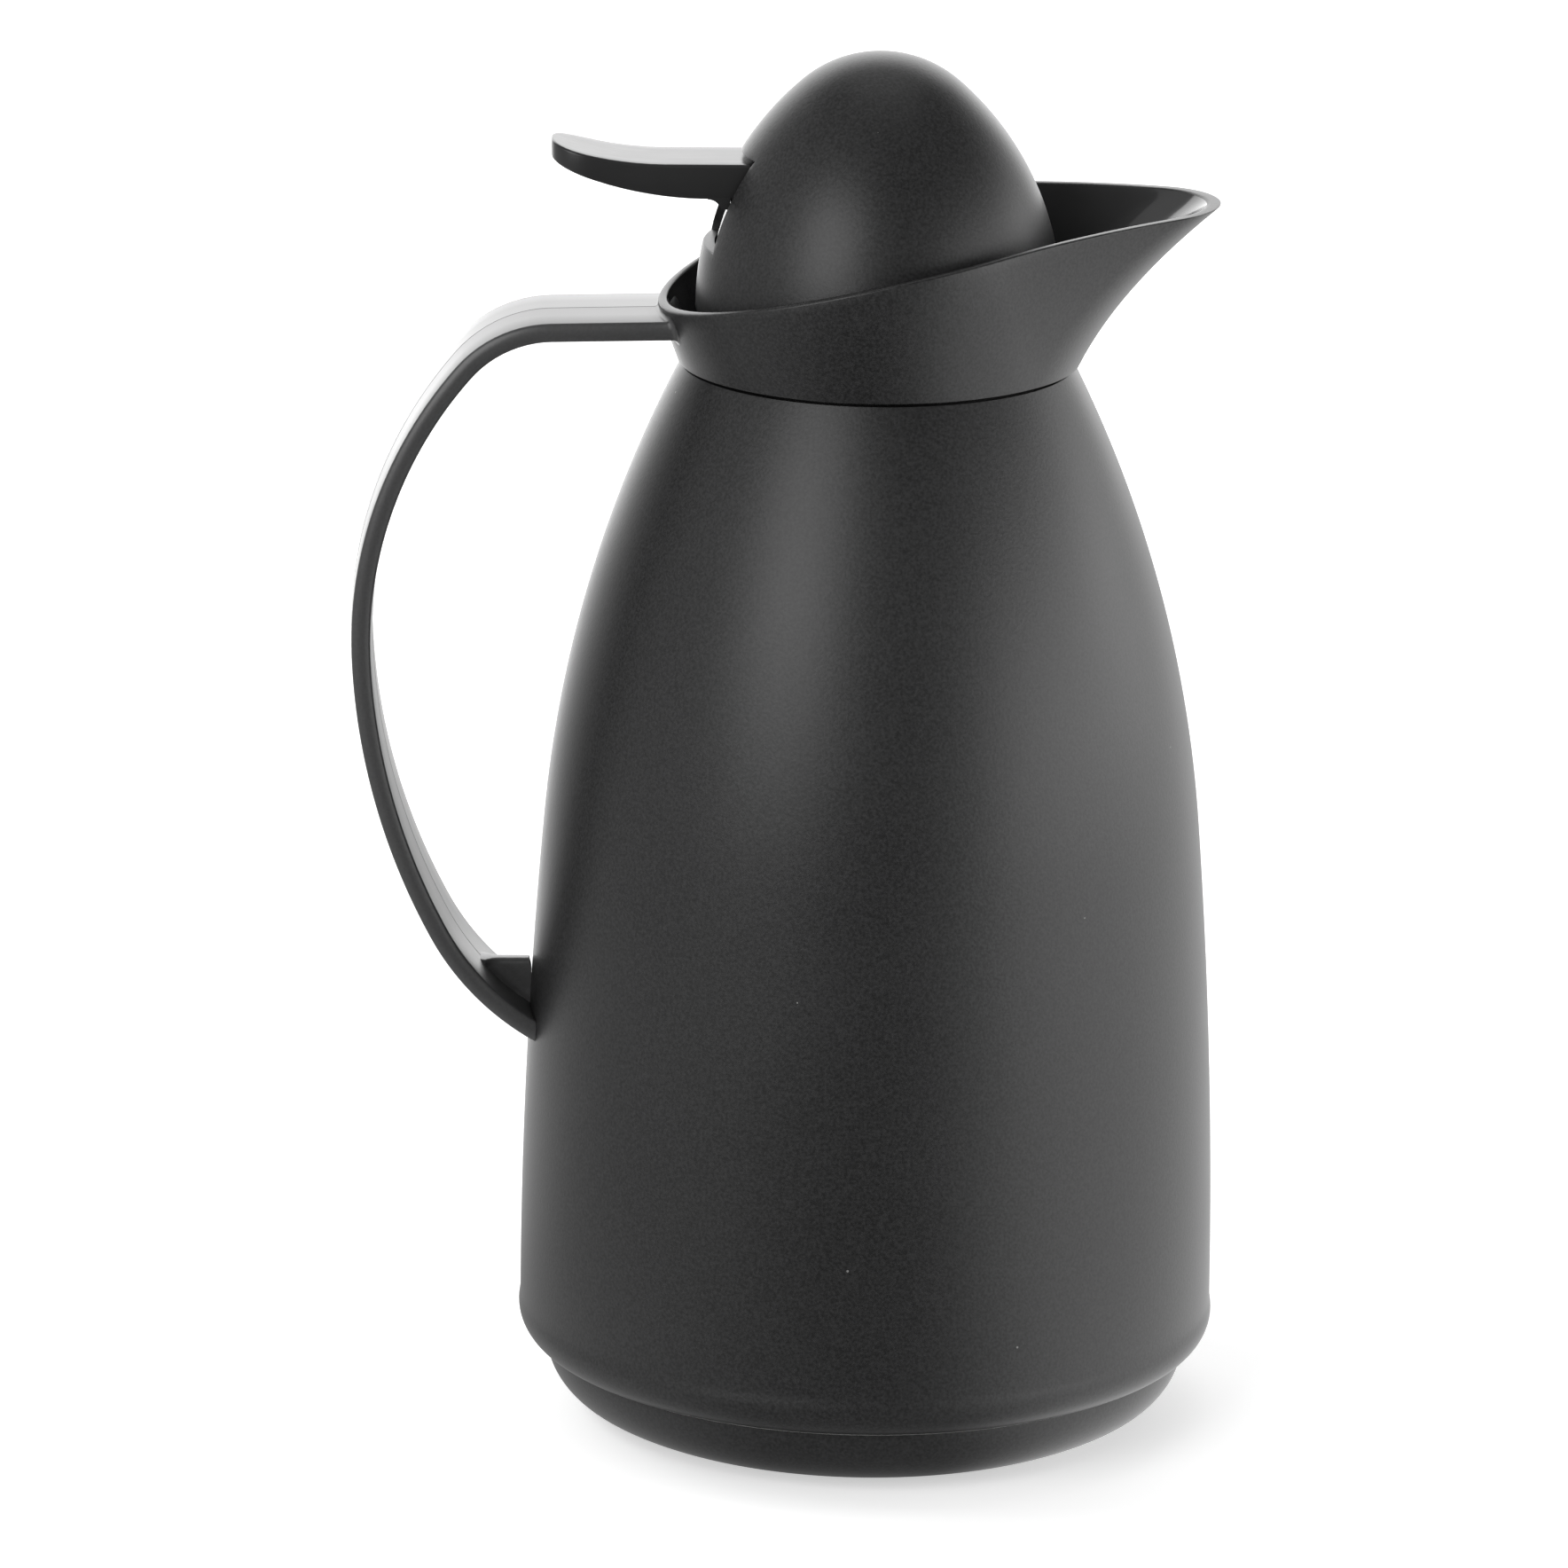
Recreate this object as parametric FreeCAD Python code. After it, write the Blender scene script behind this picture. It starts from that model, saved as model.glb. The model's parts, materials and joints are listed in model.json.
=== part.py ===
import FreeCAD, Part
import math
import os

V = FreeCAD.Vector
UP = V(0, 0, 1)
AXIS = V(0, 0, 0)

# Vacuum jug in millimetres: +Z up, origin on the body's axis at the floor, spout towards +X, handle to -X

# Clearances
fit_gap = 0.1            # rubber seal in its groove and bore
run_gap = 0.05           # radial clearance of a pin, rod or screw in its hole
part_gap = 0.3           # parts that pass close to each other
overrun = 1.0            # how far a hollow runs past the face it opens on
sink = 0.5               # how far a joined piece runs into its neighbour

# Body shell
shell_r = 69.9           # largest radius, just above the rolled lower edge
shell_wall = 2.4
shell_foot_z = 14.4      # underside of the rolled lower edge
roll_r = 6.4             # radius of the rolled lower edge
band_proud = 0.3         # mould band that stands proud along the roll
waist_in = 4.4           # how far the flank has drawn in where it passes into the shoulder
waist_z = 123.0
neck_z = 216.0           # seam between shell and collar
flange_t = 2.4           # inward flange at the top of the shell
sleeve_in = 9.0          # bore of the inner sleeve that holds the base cap, in from the largest radius
sleeve_t = 2.4
sleeve_top_z = 26.0

# Base cap
cap_seam = 0.3           # gap at the seam under the shell
cap_in = 5.2             # the cap's side, in from the shell's largest radius
cap_wall = 2.6
cap_edge = 0.7           # eased upper edge of the cap
cap_knee_in = 5.8        # where the foot's curve turns up into the side, in from the side
cap_knee_z = 3.8
foot_inset = 19.7        # outer edge of the flat foot ring, in from the side
foot_w = 7.0
recess_w = 2.0           # slope from the foot ring up to the middle
recess_z = 3.0
skirt_top_z = 29.0
lug_reach = 1.6          # bayonet lug over the sleeve
lug_span = 20.0          # degrees
lug_count = 3
notch_extra = 4.0        # degrees of room for a lug in its notch

# Glass liner
glass_t = 1.6
vacuum_gap = 3.4
liner_bottom_z = 19.0
liner_room = 4.1         # room between the shell's inside at the waist and the glass
liner_knee_in = 19.0     # where the bottom turns up, in from the straight wall
liner_knee_z = 29.0
liner_wall_z = 60.5      # where the bottom passes into the straight wall
liner_wall_drop = 5.0    # how far below the waist the straight wall ends
shoulder_share = 0.69    # share of the way out from the neck to the wall
shoulder_drop = 42.0     # below the collar's seam
crest_share = 0.24
crest_drop = 29.0
mouth_step = 1.0         # how far the mouth stands back from the stopper's land
mouth_wall = 4.2         # thickness of the fused lip
lip_t = 2.0
lip_drop = 18.8          # top of the lip below the collar's seam
lip_round = 0.7
tip_r = 3.2              # sealed-off tip under the liner
tip_length = 7.0
pad_z = 100.0
pad_size = 10.0
pad_count = 3

# Support cup and gasket
cup_r = 24.0
cup_bore_r = 7.0
cup_rim_t = 2.0
cup_rim_h = 4.0
gasket_t = 2.3
gasket_skirt_t = 2.0
gasket_skirt_h = 2.8

# Collar, spout and bowl, with heights above the seam
collar_room = 3.15       # how far the collar's outside stands off the dome at the seam
collar_step = 0.4        # how far the collar stands out over the shell at the seam
collar_flare = 4.3       # how far the back and sides open out
collar_flare_h = 26.0
collar_back = 1.4        # how much further the back leans out than the sides
collar_rings = 6         # levels that shape the collar
seam_relief = 0.8        # shadow groove over the seam
seam_tip_out = 0.3       # how far the front stands out over the sides at the seam
seam_tip_in = 0.8        # how much tighter the front is than the sides at the seam
spout_reach = 27.5       # how far the pouring lip stands out over the front at the seam
spout_lip_in = 21.1      # how much tighter the pouring lip is than the collar
spout_lean = 0.468       # slope of the spout's front at the seam
rim_back_h = 12.4
rim_mid_h = 24.8         # rim height over the body's axis
rim_front_out = 20.7
rim_front_h = 32.5
bowl_wall = 1.9          # wall round the back and sides
spout_wall = 2.5         # wall under the spout, measured level
bowl_floor_h = 5.0
funnel_h = 1.5
funnel_in = 3.3          # upper edge of the cone that leads down into the bore, in from the collar
spigot_in = 7.9          # spigot that goes down into the shell, in from the neck
spigot_wall = 3.8
land_step = 3.2          # land that the stopper's seal closes on, in from the spigot's bore
land_h = 4.5
nut_h = 8.0
nut_t = 4.8
nut_slots = 6
nut_slot_w = 6.0

# Handle, with reaches measured out from the shell's largest radius
strap_w = 27.6
strap_t = 4.2
strap_round = 0.8
strap_fillet = 1.0       # rounding where the strap grows out of the collar
strap_root_in = 3.3      # how far the strap starts inside the collar's outside
strap_top_h = 11.1       # top of the strap above the seam
strap_heading = 181.2    # degrees, almost level away from the collar
strap_bend_in = 5.4
strap_bend_h = 10.5
strap_shoulder_out = 13.4
strap_shoulder_h = 1.6
strap_side_out = 34.0
strap_side_z = 157.2
strap_lower_out = 18.4
strap_lower_z = 100.6
strap_end_in = 6.7
strap_end_z = 76.7
strap_low_z = 80.8       # blunt lower end against the shell
web_t = 4.0
web_round = 1.2
web_top_z = 93.0
web_corner_out = 6.9
web_curve_x = 4.7
web_curve_z = 2.9
web_in = 9.9
handle_gap = 0.35        # hairline gap between the handle's end and the shell
screw_z = 86.0
screw_r = 1.25
screw_head_r = 2.6
screw_head_h = 2.0
screw_out = 4.1          # how far the screw's tip reaches out

# Stopper thread
thread_lead = 24.0
thread_starts = 3
thread_span = 70.0       # degrees of each lug
thread_drop = 4.0        # middle of the collar's lugs below the seam
thread_root = 2.6
thread_crest = 1.8
thread_play = 0.4        # axial play under the collar's lugs
thread_side = 0.4        # radial room outside the plug's lugs
thread_pass = 0.8        # radial room for the seal to pass the collar's lugs
thread_stations = 6

# Stopper plug, with heights from the seam
plug_side = 0.8          # radial room between the plug and the land
plug_wall = 3.4
plug_drop = 21.0
plug_floor_t = 2.8
seat_r = 9.0
seal_drop = 16.1
seal_h = 3.2
seal_t = 2.0
deck_gap = 0.65          # room between the deck and the dome's inside
deck_h = 10.8
deck_t = 2.7
window_count = 6
window_share = 0.76      # width of a pouring window against the plug's bore radius
window_lift = 2.5
window_h = 7.3
guide_r = 5.0
guide_drop = 3.0
ear_t = 3.0
ear_r = 4.6
lever_side_gap = 0.3

# Dome, with heights above the seam
dome_r = 36.15
dome_flank_r = 59.5
dome_crown_r = 24.0
dome_low_h = 9.8
dome_belly_h = 1.56      # where the dome is widest, above its lower edge
dome_edge = 1.5
dome_wall = 2.2
slot_w = 22.0
slot_play = 1.1          # room over the lever at rest
slot_floor = 1.0         # how far the slot's floor lies under the lever's skirt
slot_depth = 24.15
boss_x = -8.0
boss_in = 9.15           # screw bosses, in from the dome's largest radius
boss_r = 3.0
dome_screw_r = 1.3
dome_screw_l = 11.0
dome_head_r = 2.5
dome_head_h = 1.8

# Thumb lever, with reaches from the dome's largest radius
pivot_in = 20.15
pivot_rise = 23.7        # above the deck
pin_r = 2.0
lever_w = 17.5
lever_top_rise = 4.1     # above the pivot
lever_t = 6.9
lever_flat_out = 5.85    # where the top starts to rise
lever_top_sweep = 70.0   # radius of the rising top
lever_root_in = 2.15     # where the underside starts to rise
lever_under_sweep = 71.4 # radius of the rising underside
lever_nose_out = 28.55
lever_round = 0.8
skirt_t = 1.8            # skirt that closes the dome's slot under the lever
skirt_gap = 0.4
skirt_drop = 9.2         # below the lever's underside
skirt_curve_x = 2.6      # rounding from the underside into the skirt
skirt_curve_z = 2.0

# Valve
stem_r = 2.4
valve_lap = 3.0          # how far the valve overlaps its seat
valve_head_t = 2.6
valve_seal_t = 1.8
valve_hub_r = 5.0
valve_hub_h = 3.0
cap_button_r = 6.4
cap_button_h = 3.6
cap_button_bulge = 1.2
cap_socket = 1.6
spring_r = 4.4
spring_wire_r = 0.45
spring_turns = 6
spring_gap = 0.05

# Radii from the dome outwards and inwards, worked out from the sizes above
collar_r = dome_r + collar_room
collar_top_r = collar_r + collar_flare
neck_r = collar_r - collar_step
spigot_r = neck_r - spigot_in
spigot_bore_r = spigot_r - spigot_wall
land_r = spigot_bore_r - land_step
mouth_r = land_r + mouth_step

# Body, base and liner, worked out
roll_top_z = shell_foot_z + roll_r
waist_r = shell_r - waist_in
sleeve_r = shell_r - sleeve_in
skirt_r = sleeve_r - part_gap
cap_r = shell_r - cap_in
cap_knee_r = cap_r - cap_knee_in
foot_r = cap_r - foot_inset
flange_low_z = neck_z - flange_t
liner_r = waist_r - shell_wall - liner_room
liner_knee_r = liner_r - liner_knee_in
liner_shoulder_z = waist_z - liner_wall_drop
liner_neck_r = mouth_r + mouth_wall
shoulder_r = liner_neck_r + (liner_r - liner_neck_r) * shoulder_share
shoulder_z = neck_z - shoulder_drop
crest_r = liner_neck_r + (liner_r - liner_neck_r) * crest_share
crest_z = neck_z - crest_drop
inner_inset = glass_t + vacuum_gap
lip_top_z = neck_z - lip_drop
lip_low_z = lip_top_z - lip_t
throat_z = lip_low_z - overrun

# Collar and handle, worked out
seam_tip_x = collar_r + seam_tip_out
seam_tip_r = collar_r - seam_tip_in
spout_lip_x = seam_tip_x + spout_reach
spout_lip_r = collar_r - spout_lip_in
rim_back_x = -collar_top_r
rim_back_z = neck_z + rim_back_h
rim_mid_z = neck_z + rim_mid_h
rim_front_x = collar_r + rim_front_out
rim_front_z = neck_z + rim_front_h
bowl_floor_z = neck_z + bowl_floor_h
funnel_z = neck_z + funnel_h
funnel_r = collar_r - funnel_in
spigot_low_z = lip_top_z + gasket_t
land_top_z = spigot_low_z + land_h
strap_root_x = strap_root_in - collar_r
strap_top_z = neck_z + strap_top_h
strap_bend = (strap_bend_in - shell_r, neck_z + strap_bend_h)
strap_shoulder = (-shell_r - strap_shoulder_out, neck_z + strap_shoulder_h)
strap_side = (-shell_r - strap_side_out, strap_side_z)
strap_lower = (-shell_r - strap_lower_out, strap_lower_z)
strap_end = (strap_end_in - shell_r, strap_end_z)
web_corner_x = -shell_r - web_corner_out
web_in_x = web_in - shell_r
screw_tip_x = -shell_r - screw_out

# Stopper, lever and valve, worked out
thread_z = neck_z - thread_drop
seal_r = land_r - fit_gap
collar_crest_r = seal_r + thread_pass
plug_crest_r = spigot_bore_r - thread_side
plug_r = land_r - plug_side
plug_bore_r = plug_r - plug_wall
plug_low_z = neck_z - plug_drop
seal_low_z = neck_z - seal_drop
deck_r = dome_r - dome_wall - deck_gap
deck_low_z = neck_z + deck_h
deck_top_z = deck_low_z + deck_t
window_w = plug_bore_r * window_share
window_low_z = neck_z + window_lift
guide_low_z = neck_z - guide_drop
dome_low_z = neck_z + dome_low_h
slot_in_x = slot_depth - dome_r
boss_y = dome_r - boss_in
pivot_x = dome_r - pivot_in
pivot_z = deck_top_z + pivot_rise
lever_top_z = pivot_z + lever_top_rise
lever_under_z = lever_top_z - lever_t
lever_flat_x = -dome_r - lever_flat_out
lever_root_x = lever_root_in - dome_r
lever_nose_x = -dome_r - lever_nose_out
skirt_low_z = lever_under_z - skirt_drop
slot_low_z = skirt_low_z - slot_floor
slot_top_z = lever_top_z + slot_play
valve_r = seat_r + valve_lap
valve_top_z = plug_low_z - fit_gap
button_top_z = lever_under_z - part_gap
button_low_z = button_top_z - cap_button_h


def bulge(radius, run):
    """How far an arc has left its tangent after a run along it."""
    return radius - math.sqrt(radius ** 2 - run ** 2)


def flank_r(z):
    """Radius of the body's outside at a height of the flank."""
    rise = waist_z - roll_top_z
    drop = shell_r - waist_r
    return shell_r - bulge((rise ** 2 + drop ** 2) / (2 * drop), z - roll_top_z)


def point(place):
    return V(place[0], 0, place[1])


def trace(start, heading, ends):
    """Tangent arcs in the XZ plane from start through ends, as points with their heading."""
    path = [(point(start), heading)]
    for end in ends:
        here, angle = path[-1]
        chord = point(end) - here
        turn = math.remainder(math.atan2(chord.z, chord.x) - angle, 2 * math.pi)
        path.append((point(end), angle + 2 * turn))
    return path


def shifted(path, inset):
    """The same path moved to the left of its heading by inset."""
    return [(spot + V(-math.sin(angle), 0, math.cos(angle)) * inset, angle) for spot, angle in path]


def back(path):
    """The same path run from its end to its start."""
    return [(spot, angle + math.pi) for spot, angle in reversed(path)]


def arcs(path):
    """Edges of a path of tangent arcs."""
    edges = []
    for (start, heading), (end, new_heading) in zip(path, path[1:]):
        turn = (new_heading - heading) / 2
        chord = end - start
        if abs(turn) < 1e-4:
            edges.append(Part.LineSegment(start, end).toShape())
        else:
            middle = (start + end) / 2 + V(chord.z, 0, -chord.x) * (math.tan(turn / 2) / 2)
            edges.append(Part.Arc(start, middle, end).toShape())
    return edges


def outline(*runs):
    """A closed face in the XZ plane: points and paths of arcs, joined by straight lines."""
    paths = [run if isinstance(run, list) else [(point(run), 0)] for run in runs]
    edges = []
    for path, following in zip(paths, paths[1:] + paths[:1]):
        edges += arcs(path)
        start = path[-1][0]
        end = following[0][0]
        if start.distanceToPoint(end) > 1e-4:
            edges.append(Part.LineSegment(start, end).toShape())
    return Part.Face(Part.Wire(edges))


def lathe(*runs):
    """A solid turned round the body's axis."""
    return outline(*runs).revolve(AXIS, UP, 360)


def slab(face, width):
    """A face of the XZ plane made as thick as width, half on each side."""
    face.translate(V(0, -width / 2, 0))
    return face.extrude(V(0, width, 0))


def rod(radius, low_z, high_z, x=0, y=0):
    return Part.makeCylinder(radius, high_z - low_z, V(x, y, low_z), UP)


def tube(bore, radius, low_z, high_z):
    return lathe((bore, low_z), (radius, low_z), (radius, high_z), (bore, high_z))


def sector(bore, radius, low_z, high_z, middle, span):
    """A piece of a ring, centred on an angle in degrees."""
    piece = outline((bore, low_z), (radius, low_z), (radius, high_z), (bore, high_z)).revolve(AXIS, UP, span)
    piece.rotate(AXIS, UP, middle - span / 2)
    return piece


def box(low, high):
    size = V(*high) - V(*low)
    return Part.makeBox(size.x, size.y, size.z, V(*low))


def around(count, shape):
    """Copies of a shape, evenly spaced round the body's axis."""
    copies = []
    for number in range(count):
        copy = shape.copy()
        copy.rotate(AXIS, UP, 360 * number / count)
        copies.append(copy)
    return copies


def body_form(inset, band):
    """The body's outer form filled to the axis, moved inwards by inset."""
    roll = trace((shell_r + band - roll_r, shell_foot_z), 0, [(shell_r + band, roll_top_z)])
    flank = trace((shell_r, roll_top_z + band), math.pi / 2, [(waist_r, waist_z), (neck_r, neck_z)])
    low = shifted(roll, inset)
    high = shifted(flank, inset)
    return lathe((0, low[0][0].z), low, high, (0, high[-1][0].z))


def make_outer_shell():
    cavity = body_form(shell_wall, 0).common(rod(shell_r, 0, flange_low_z))
    shell = body_form(0, band_proud).cut(cavity)
    shell = shell.cut([rod(spigot_r + part_gap, flange_low_z - overrun, neck_z + overrun),
                       rod(sleeve_r, shell_foot_z - overrun, sleeve_top_z)])
    shell = shell.fuse(tube(sleeve_r, sleeve_r + sleeve_t, shell_foot_z, sleeve_top_z))
    notch = sector(sleeve_r - overrun, skirt_r + lug_reach + part_gap, shell_foot_z - overrun,
                   sleeve_top_z + overrun, 180 / lug_count, lug_span + notch_extra)
    hole = Part.makeCylinder(screw_r + part_gap, shell_r, V(-shell_r / 2, 0, screw_z), V(-1, 0, 0))
    return shell.cut(around(lug_count, notch) + [hole]).removeSplitter()


def make_base_cap():
    top_z = shell_foot_z - cap_seam
    side = trace((foot_r, 0), 0, [(cap_knee_r, cap_knee_z), (cap_r, top_z - cap_edge)])
    inside = shifted(side, cap_wall)
    foot_in_r = foot_r - foot_w
    recess_r = foot_in_r - recess_w
    floor_z = recess_z + cap_wall
    cap = lathe((0, recess_z), (recess_r, recess_z), (foot_in_r, 0), side, (cap_r - cap_edge, top_z),
                (skirt_r, top_z), (skirt_r, skirt_top_z), (0, skirt_top_z))
    hollow = lathe((0, floor_z), (recess_r + cap_wall, floor_z), (foot_in_r + cap_wall, cap_wall), inside,
                   (inside[-1][0].x, skirt_top_z + overrun), (0, skirt_top_z + overrun))
    cap = cap.cut(hollow.common(rod(skirt_r - cap_wall, 0, skirt_top_z + overrun)))
    cup_rim = tube(cup_r + fit_gap, cup_r + fit_gap + cup_rim_t, floor_z, floor_z + cup_rim_h)
    lug_low_z = sleeve_top_z + part_gap
    lug = sector(skirt_r - cap_wall / 2, skirt_r + lug_reach, lug_low_z, skirt_top_z, 0, lug_span)
    return cap.fuse([cup_rim] + around(lug_count, lug)).removeSplitter()


def liner_runs(inset, throat_r, throat_z):
    """Lower and upper runs of a bottle wall, moved inwards from the liner's outside."""
    low = trace((0, liner_bottom_z), 0, [(liner_knee_r, liner_knee_z), (liner_r, liner_wall_z)])
    low = shifted(low, inset)
    rise = trace((liner_r, liner_shoulder_z), math.pi / 2, [(shoulder_r, shoulder_z), (crest_r, crest_z)])
    rise = shifted(rise, inset)
    spot, heading = rise[-1]
    throat = trace((spot.x, spot.z), heading, [(throat_r, throat_z)])
    return low, rise + throat[1:]


def make_liner_outer():
    low, high = liner_runs(0, liner_neck_r, throat_z)
    low_in, high_in = liner_runs(glass_t, liner_neck_r - glass_t, throat_z)
    drop = liner_knee_z - liner_bottom_z
    bottom_r = (liner_knee_r ** 2 + drop ** 2) / (2 * drop)
    tip_root = (tip_r, liner_bottom_z + bulge(bottom_r, tip_r))
    low = trace(tip_root, math.asin(tip_r / bottom_r),
                [(liner_knee_r, liner_knee_z), (liner_r, liner_wall_z)])
    tip_low_z = liner_bottom_z - tip_length
    return lathe((0, tip_low_z), (tip_r / 2, tip_low_z), low, high, (liner_neck_r, lip_low_z),
                 (liner_neck_r - glass_t, lip_low_z), back(high_in), back(low_in))


def make_liner_inner():
    low, high = liner_runs(inner_inset, mouth_r + glass_t, throat_z)
    low_in, high_in = liner_runs(inner_inset + glass_t, mouth_r, throat_z)
    return lathe(low, high, (mouth_r + glass_t, lip_low_z), (liner_neck_r, lip_low_z),
                 (liner_neck_r, lip_top_z - lip_round), (liner_neck_r - lip_round, lip_top_z),
                 (mouth_r + lip_round, lip_top_z), (mouth_r, lip_top_z - lip_round),
                 back(high_in), back(low_in))


def make_liner_pads():
    outside = liner_r - glass_t
    span = math.degrees(pad_size / outside)
    pad_low_z = pad_z - pad_size / 2
    pad = sector(outside - vacuum_gap + run_gap, outside - run_gap, pad_low_z, pad_low_z + pad_size, 0, span)
    return Part.makeCompound(around(pad_count, pad))


def make_support_cup():
    cup = tube(cup_bore_r, cup_r, recess_z + cap_wall, liner_knee_z)
    low = liner_runs(-fit_gap, liner_neck_r, throat_z)[0]
    return cup.cut(lathe(low, (liner_r, liner_shoulder_z), (0, liner_shoulder_z)))


def make_neck_gasket():
    skirt_low = lip_top_z - gasket_skirt_h
    skirt_bore = liner_neck_r + fit_gap
    skirt_out = skirt_bore + gasket_skirt_t
    return lathe((mouth_r, lip_top_z), (mouth_r, spigot_low_z), (skirt_out, spigot_low_z),
                 (skirt_out, skirt_low), (skirt_bore, skirt_low), (skirt_bore, lip_top_z))


def make_neck_nut():
    bore = spigot_r + part_gap
    nut = tube(bore, bore + nut_t, flange_low_z - nut_h, flange_low_z)
    slot = box((bore + nut_t / 2, -nut_slot_w / 2, flange_low_z - nut_h - overrun),
               (bore + nut_t + overrun, nut_slot_w / 2, flange_low_z - nut_h / 2))
    return nut.cut(around(nut_slots, slot))


def teardrop(z, back_x, back_radius, tip_x, tip_radius):
    """Plan of the collar at a height: a round back and a smaller round tip, joined by straight sides."""
    middle = V(back_x, 0, z)
    tip = V(tip_x - tip_radius, 0, z)
    angle = math.acos((back_radius - tip_radius) / (tip.x - back_x))
    side = V(math.cos(angle), math.sin(angle), 0)
    mirror = V(side.x, -side.y, 0)
    back_left, back_right = middle + side * back_radius, middle + mirror * back_radius
    tip_left, tip_right = tip + side * tip_radius, tip + mirror * tip_radius
    return Part.Wire([Part.Arc(back_left, V(back_x - back_radius, 0, z), back_right).toShape(),
                      Part.LineSegment(back_right, tip_right).toShape(),
                      Part.Arc(tip_right, V(tip_x, 0, z), tip_left).toShape(),
                      Part.LineSegment(tip_left, back_left).toShape()])


def collar_form(low_z, side_inset, front_inset):
    """The collar's flaring form from a height up to the rim, moved inwards by the insets."""
    high_z = rim_front_z + overrun
    rise = rim_front_z - neck_z
    curve = (spout_lip_x - seam_tip_x - spout_lean * rise) / rise ** 2
    rings = []
    for ring in range(collar_rings + 1):
        z = low_z + (high_z - low_z) * ring / collar_rings
        h = z - neck_z
        back_x = -collar_back * min(h / (rim_back_z - neck_z), 1)
        back_radius = collar_r + collar_flare * math.sin(min(h / collar_flare_h, 1) * math.pi / 2)
        tip_x = seam_tip_x + spout_lean * h + curve * h ** 2
        tip_radius = seam_tip_r + (spout_lip_r - seam_tip_r) * h / rise
        rings.append(teardrop(z, back_x, back_radius - side_inset,
                              tip_x - front_inset, tip_radius - side_inset))
    return Part.makeLoft(rings, True, False)


def thread_lug(root, crest, z, middle):
    """One helical lug of the stopper's thread, centred on an angle in degrees."""
    wires = []
    for station in range(thread_stations + 1):
        turn = thread_span * (station / thread_stations - 0.5)
        level = z + thread_lead * turn / 360
        corners = [V(root, 0, level - thread_root / 2), V(crest, 0, level - thread_crest / 2),
                   V(crest, 0, level + thread_crest / 2), V(root, 0, level + thread_root / 2)]
        wire = Part.makePolygon(corners + corners[:1])
        wire.rotate(AXIS, UP, middle + turn)
        wires.append(wire)
    return Part.makeLoft(wires, True, False)


def make_handle():
    path = trace(strap_bend, math.radians(strap_heading), [strap_shoulder, strap_side, strap_lower, strap_end])
    inner = shifted(path, strap_t)
    strap = outline((strap_root_x, strap_top_z), path, back(inner), (strap_root_x, strap_top_z - strap_t))
    strap = slab(strap, strap_w)
    long_edges = [edge for edge in strap.Edges if abs(edge.tangentAt(edge.FirstParameter).y) < 0.5
                  and edge.CenterOfMass.x < strap_root_x - overrun]
    strap = strap.makeFillet(strap_round, long_edges)
    curve_heading = -2 * math.atan2(web_curve_z, web_curve_x)
    curve = trace((web_corner_x - web_curve_x, web_top_z + web_curve_z), curve_heading,
                  [(web_corner_x, web_top_z)])
    middle = shifted(path[-2:], strap_t / 2)
    web = slab(outline(curve, (web_in_x, web_top_z), back(middle)), web_t)
    top_edges = [edge for edge in web.Edges if abs(edge.tangentAt(edge.FirstParameter).y) < 0.5
                 and edge.CenterOfMass.z > web_top_z - sink
                 and edge.CenterOfMass.x > web_corner_x - web_curve_x]
    web = web.makeFillet(web_round, top_edges)
    hole = Part.makeCylinder(screw_r + run_gap, -screw_tip_x, V(0, 0, screw_z), V(-1, 0, 0))
    blunt = box((strap_side[0], -strap_w, 0), (0, strap_w, strap_low_z))
    return strap.fuse(web).cut([body_form(-handle_gap, 0), hole, blunt])


def make_spout_collar():
    rim = Part.Circle(V(rim_back_x, 0, rim_back_z), V(0, 0, rim_mid_z), V(rim_front_x, 0, rim_front_z))
    under_rim = slab(Part.Face(Part.Wire(rim.toShape())), 4 * shell_r)
    collar = collar_form(neck_z, 0, 0).common(under_rim).fuse(make_handle())
    roots = [edge for edge in collar.Edges if rim_back_x < edge.CenterOfMass.x < strap_root_x
             and abs(edge.CenterOfMass.y) < strap_w / 2 + sink
             and neck_z + overrun < edge.CenterOfMass.z < rim_back_z - overrun]
    collar = collar.makeFillet(strap_fillet, roots)
    relief = tube(collar_r - seam_relief, collar_r + seam_relief, neck_z - overrun, neck_z + seam_relief)
    funnel = Part.makeCone(spigot_bore_r, funnel_r, bowl_floor_z - funnel_z, V(0, 0, funnel_z), UP)
    collar = collar.cut([relief, collar_form(bowl_floor_z, bowl_wall, spout_wall), funnel])
    collar = collar.fuse(rod(spigot_r, spigot_low_z, neck_z + sink))
    collar = collar.cut([rod(spigot_bore_r, land_top_z, bowl_floor_z),
                         rod(land_r, spigot_low_z - overrun, land_top_z + overrun)])
    lugs = [thread_lug(spigot_bore_r + sink, collar_crest_r, thread_z, 360 * n / thread_starts)
            for n in range(thread_starts)]
    return collar.fuse(lugs).removeSplitter()


def make_handle_screw():
    head_x = shell_wall + part_gap - flank_r(screw_z)
    shank = Part.makeCylinder(screw_r, head_x - screw_tip_x, V(head_x, 0, screw_z), V(-1, 0, 0))
    head = Part.makeCylinder(screw_head_r, screw_head_h, V(head_x, 0, screw_z), V(1, 0, 0))
    return shank.fuse(head)


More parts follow.
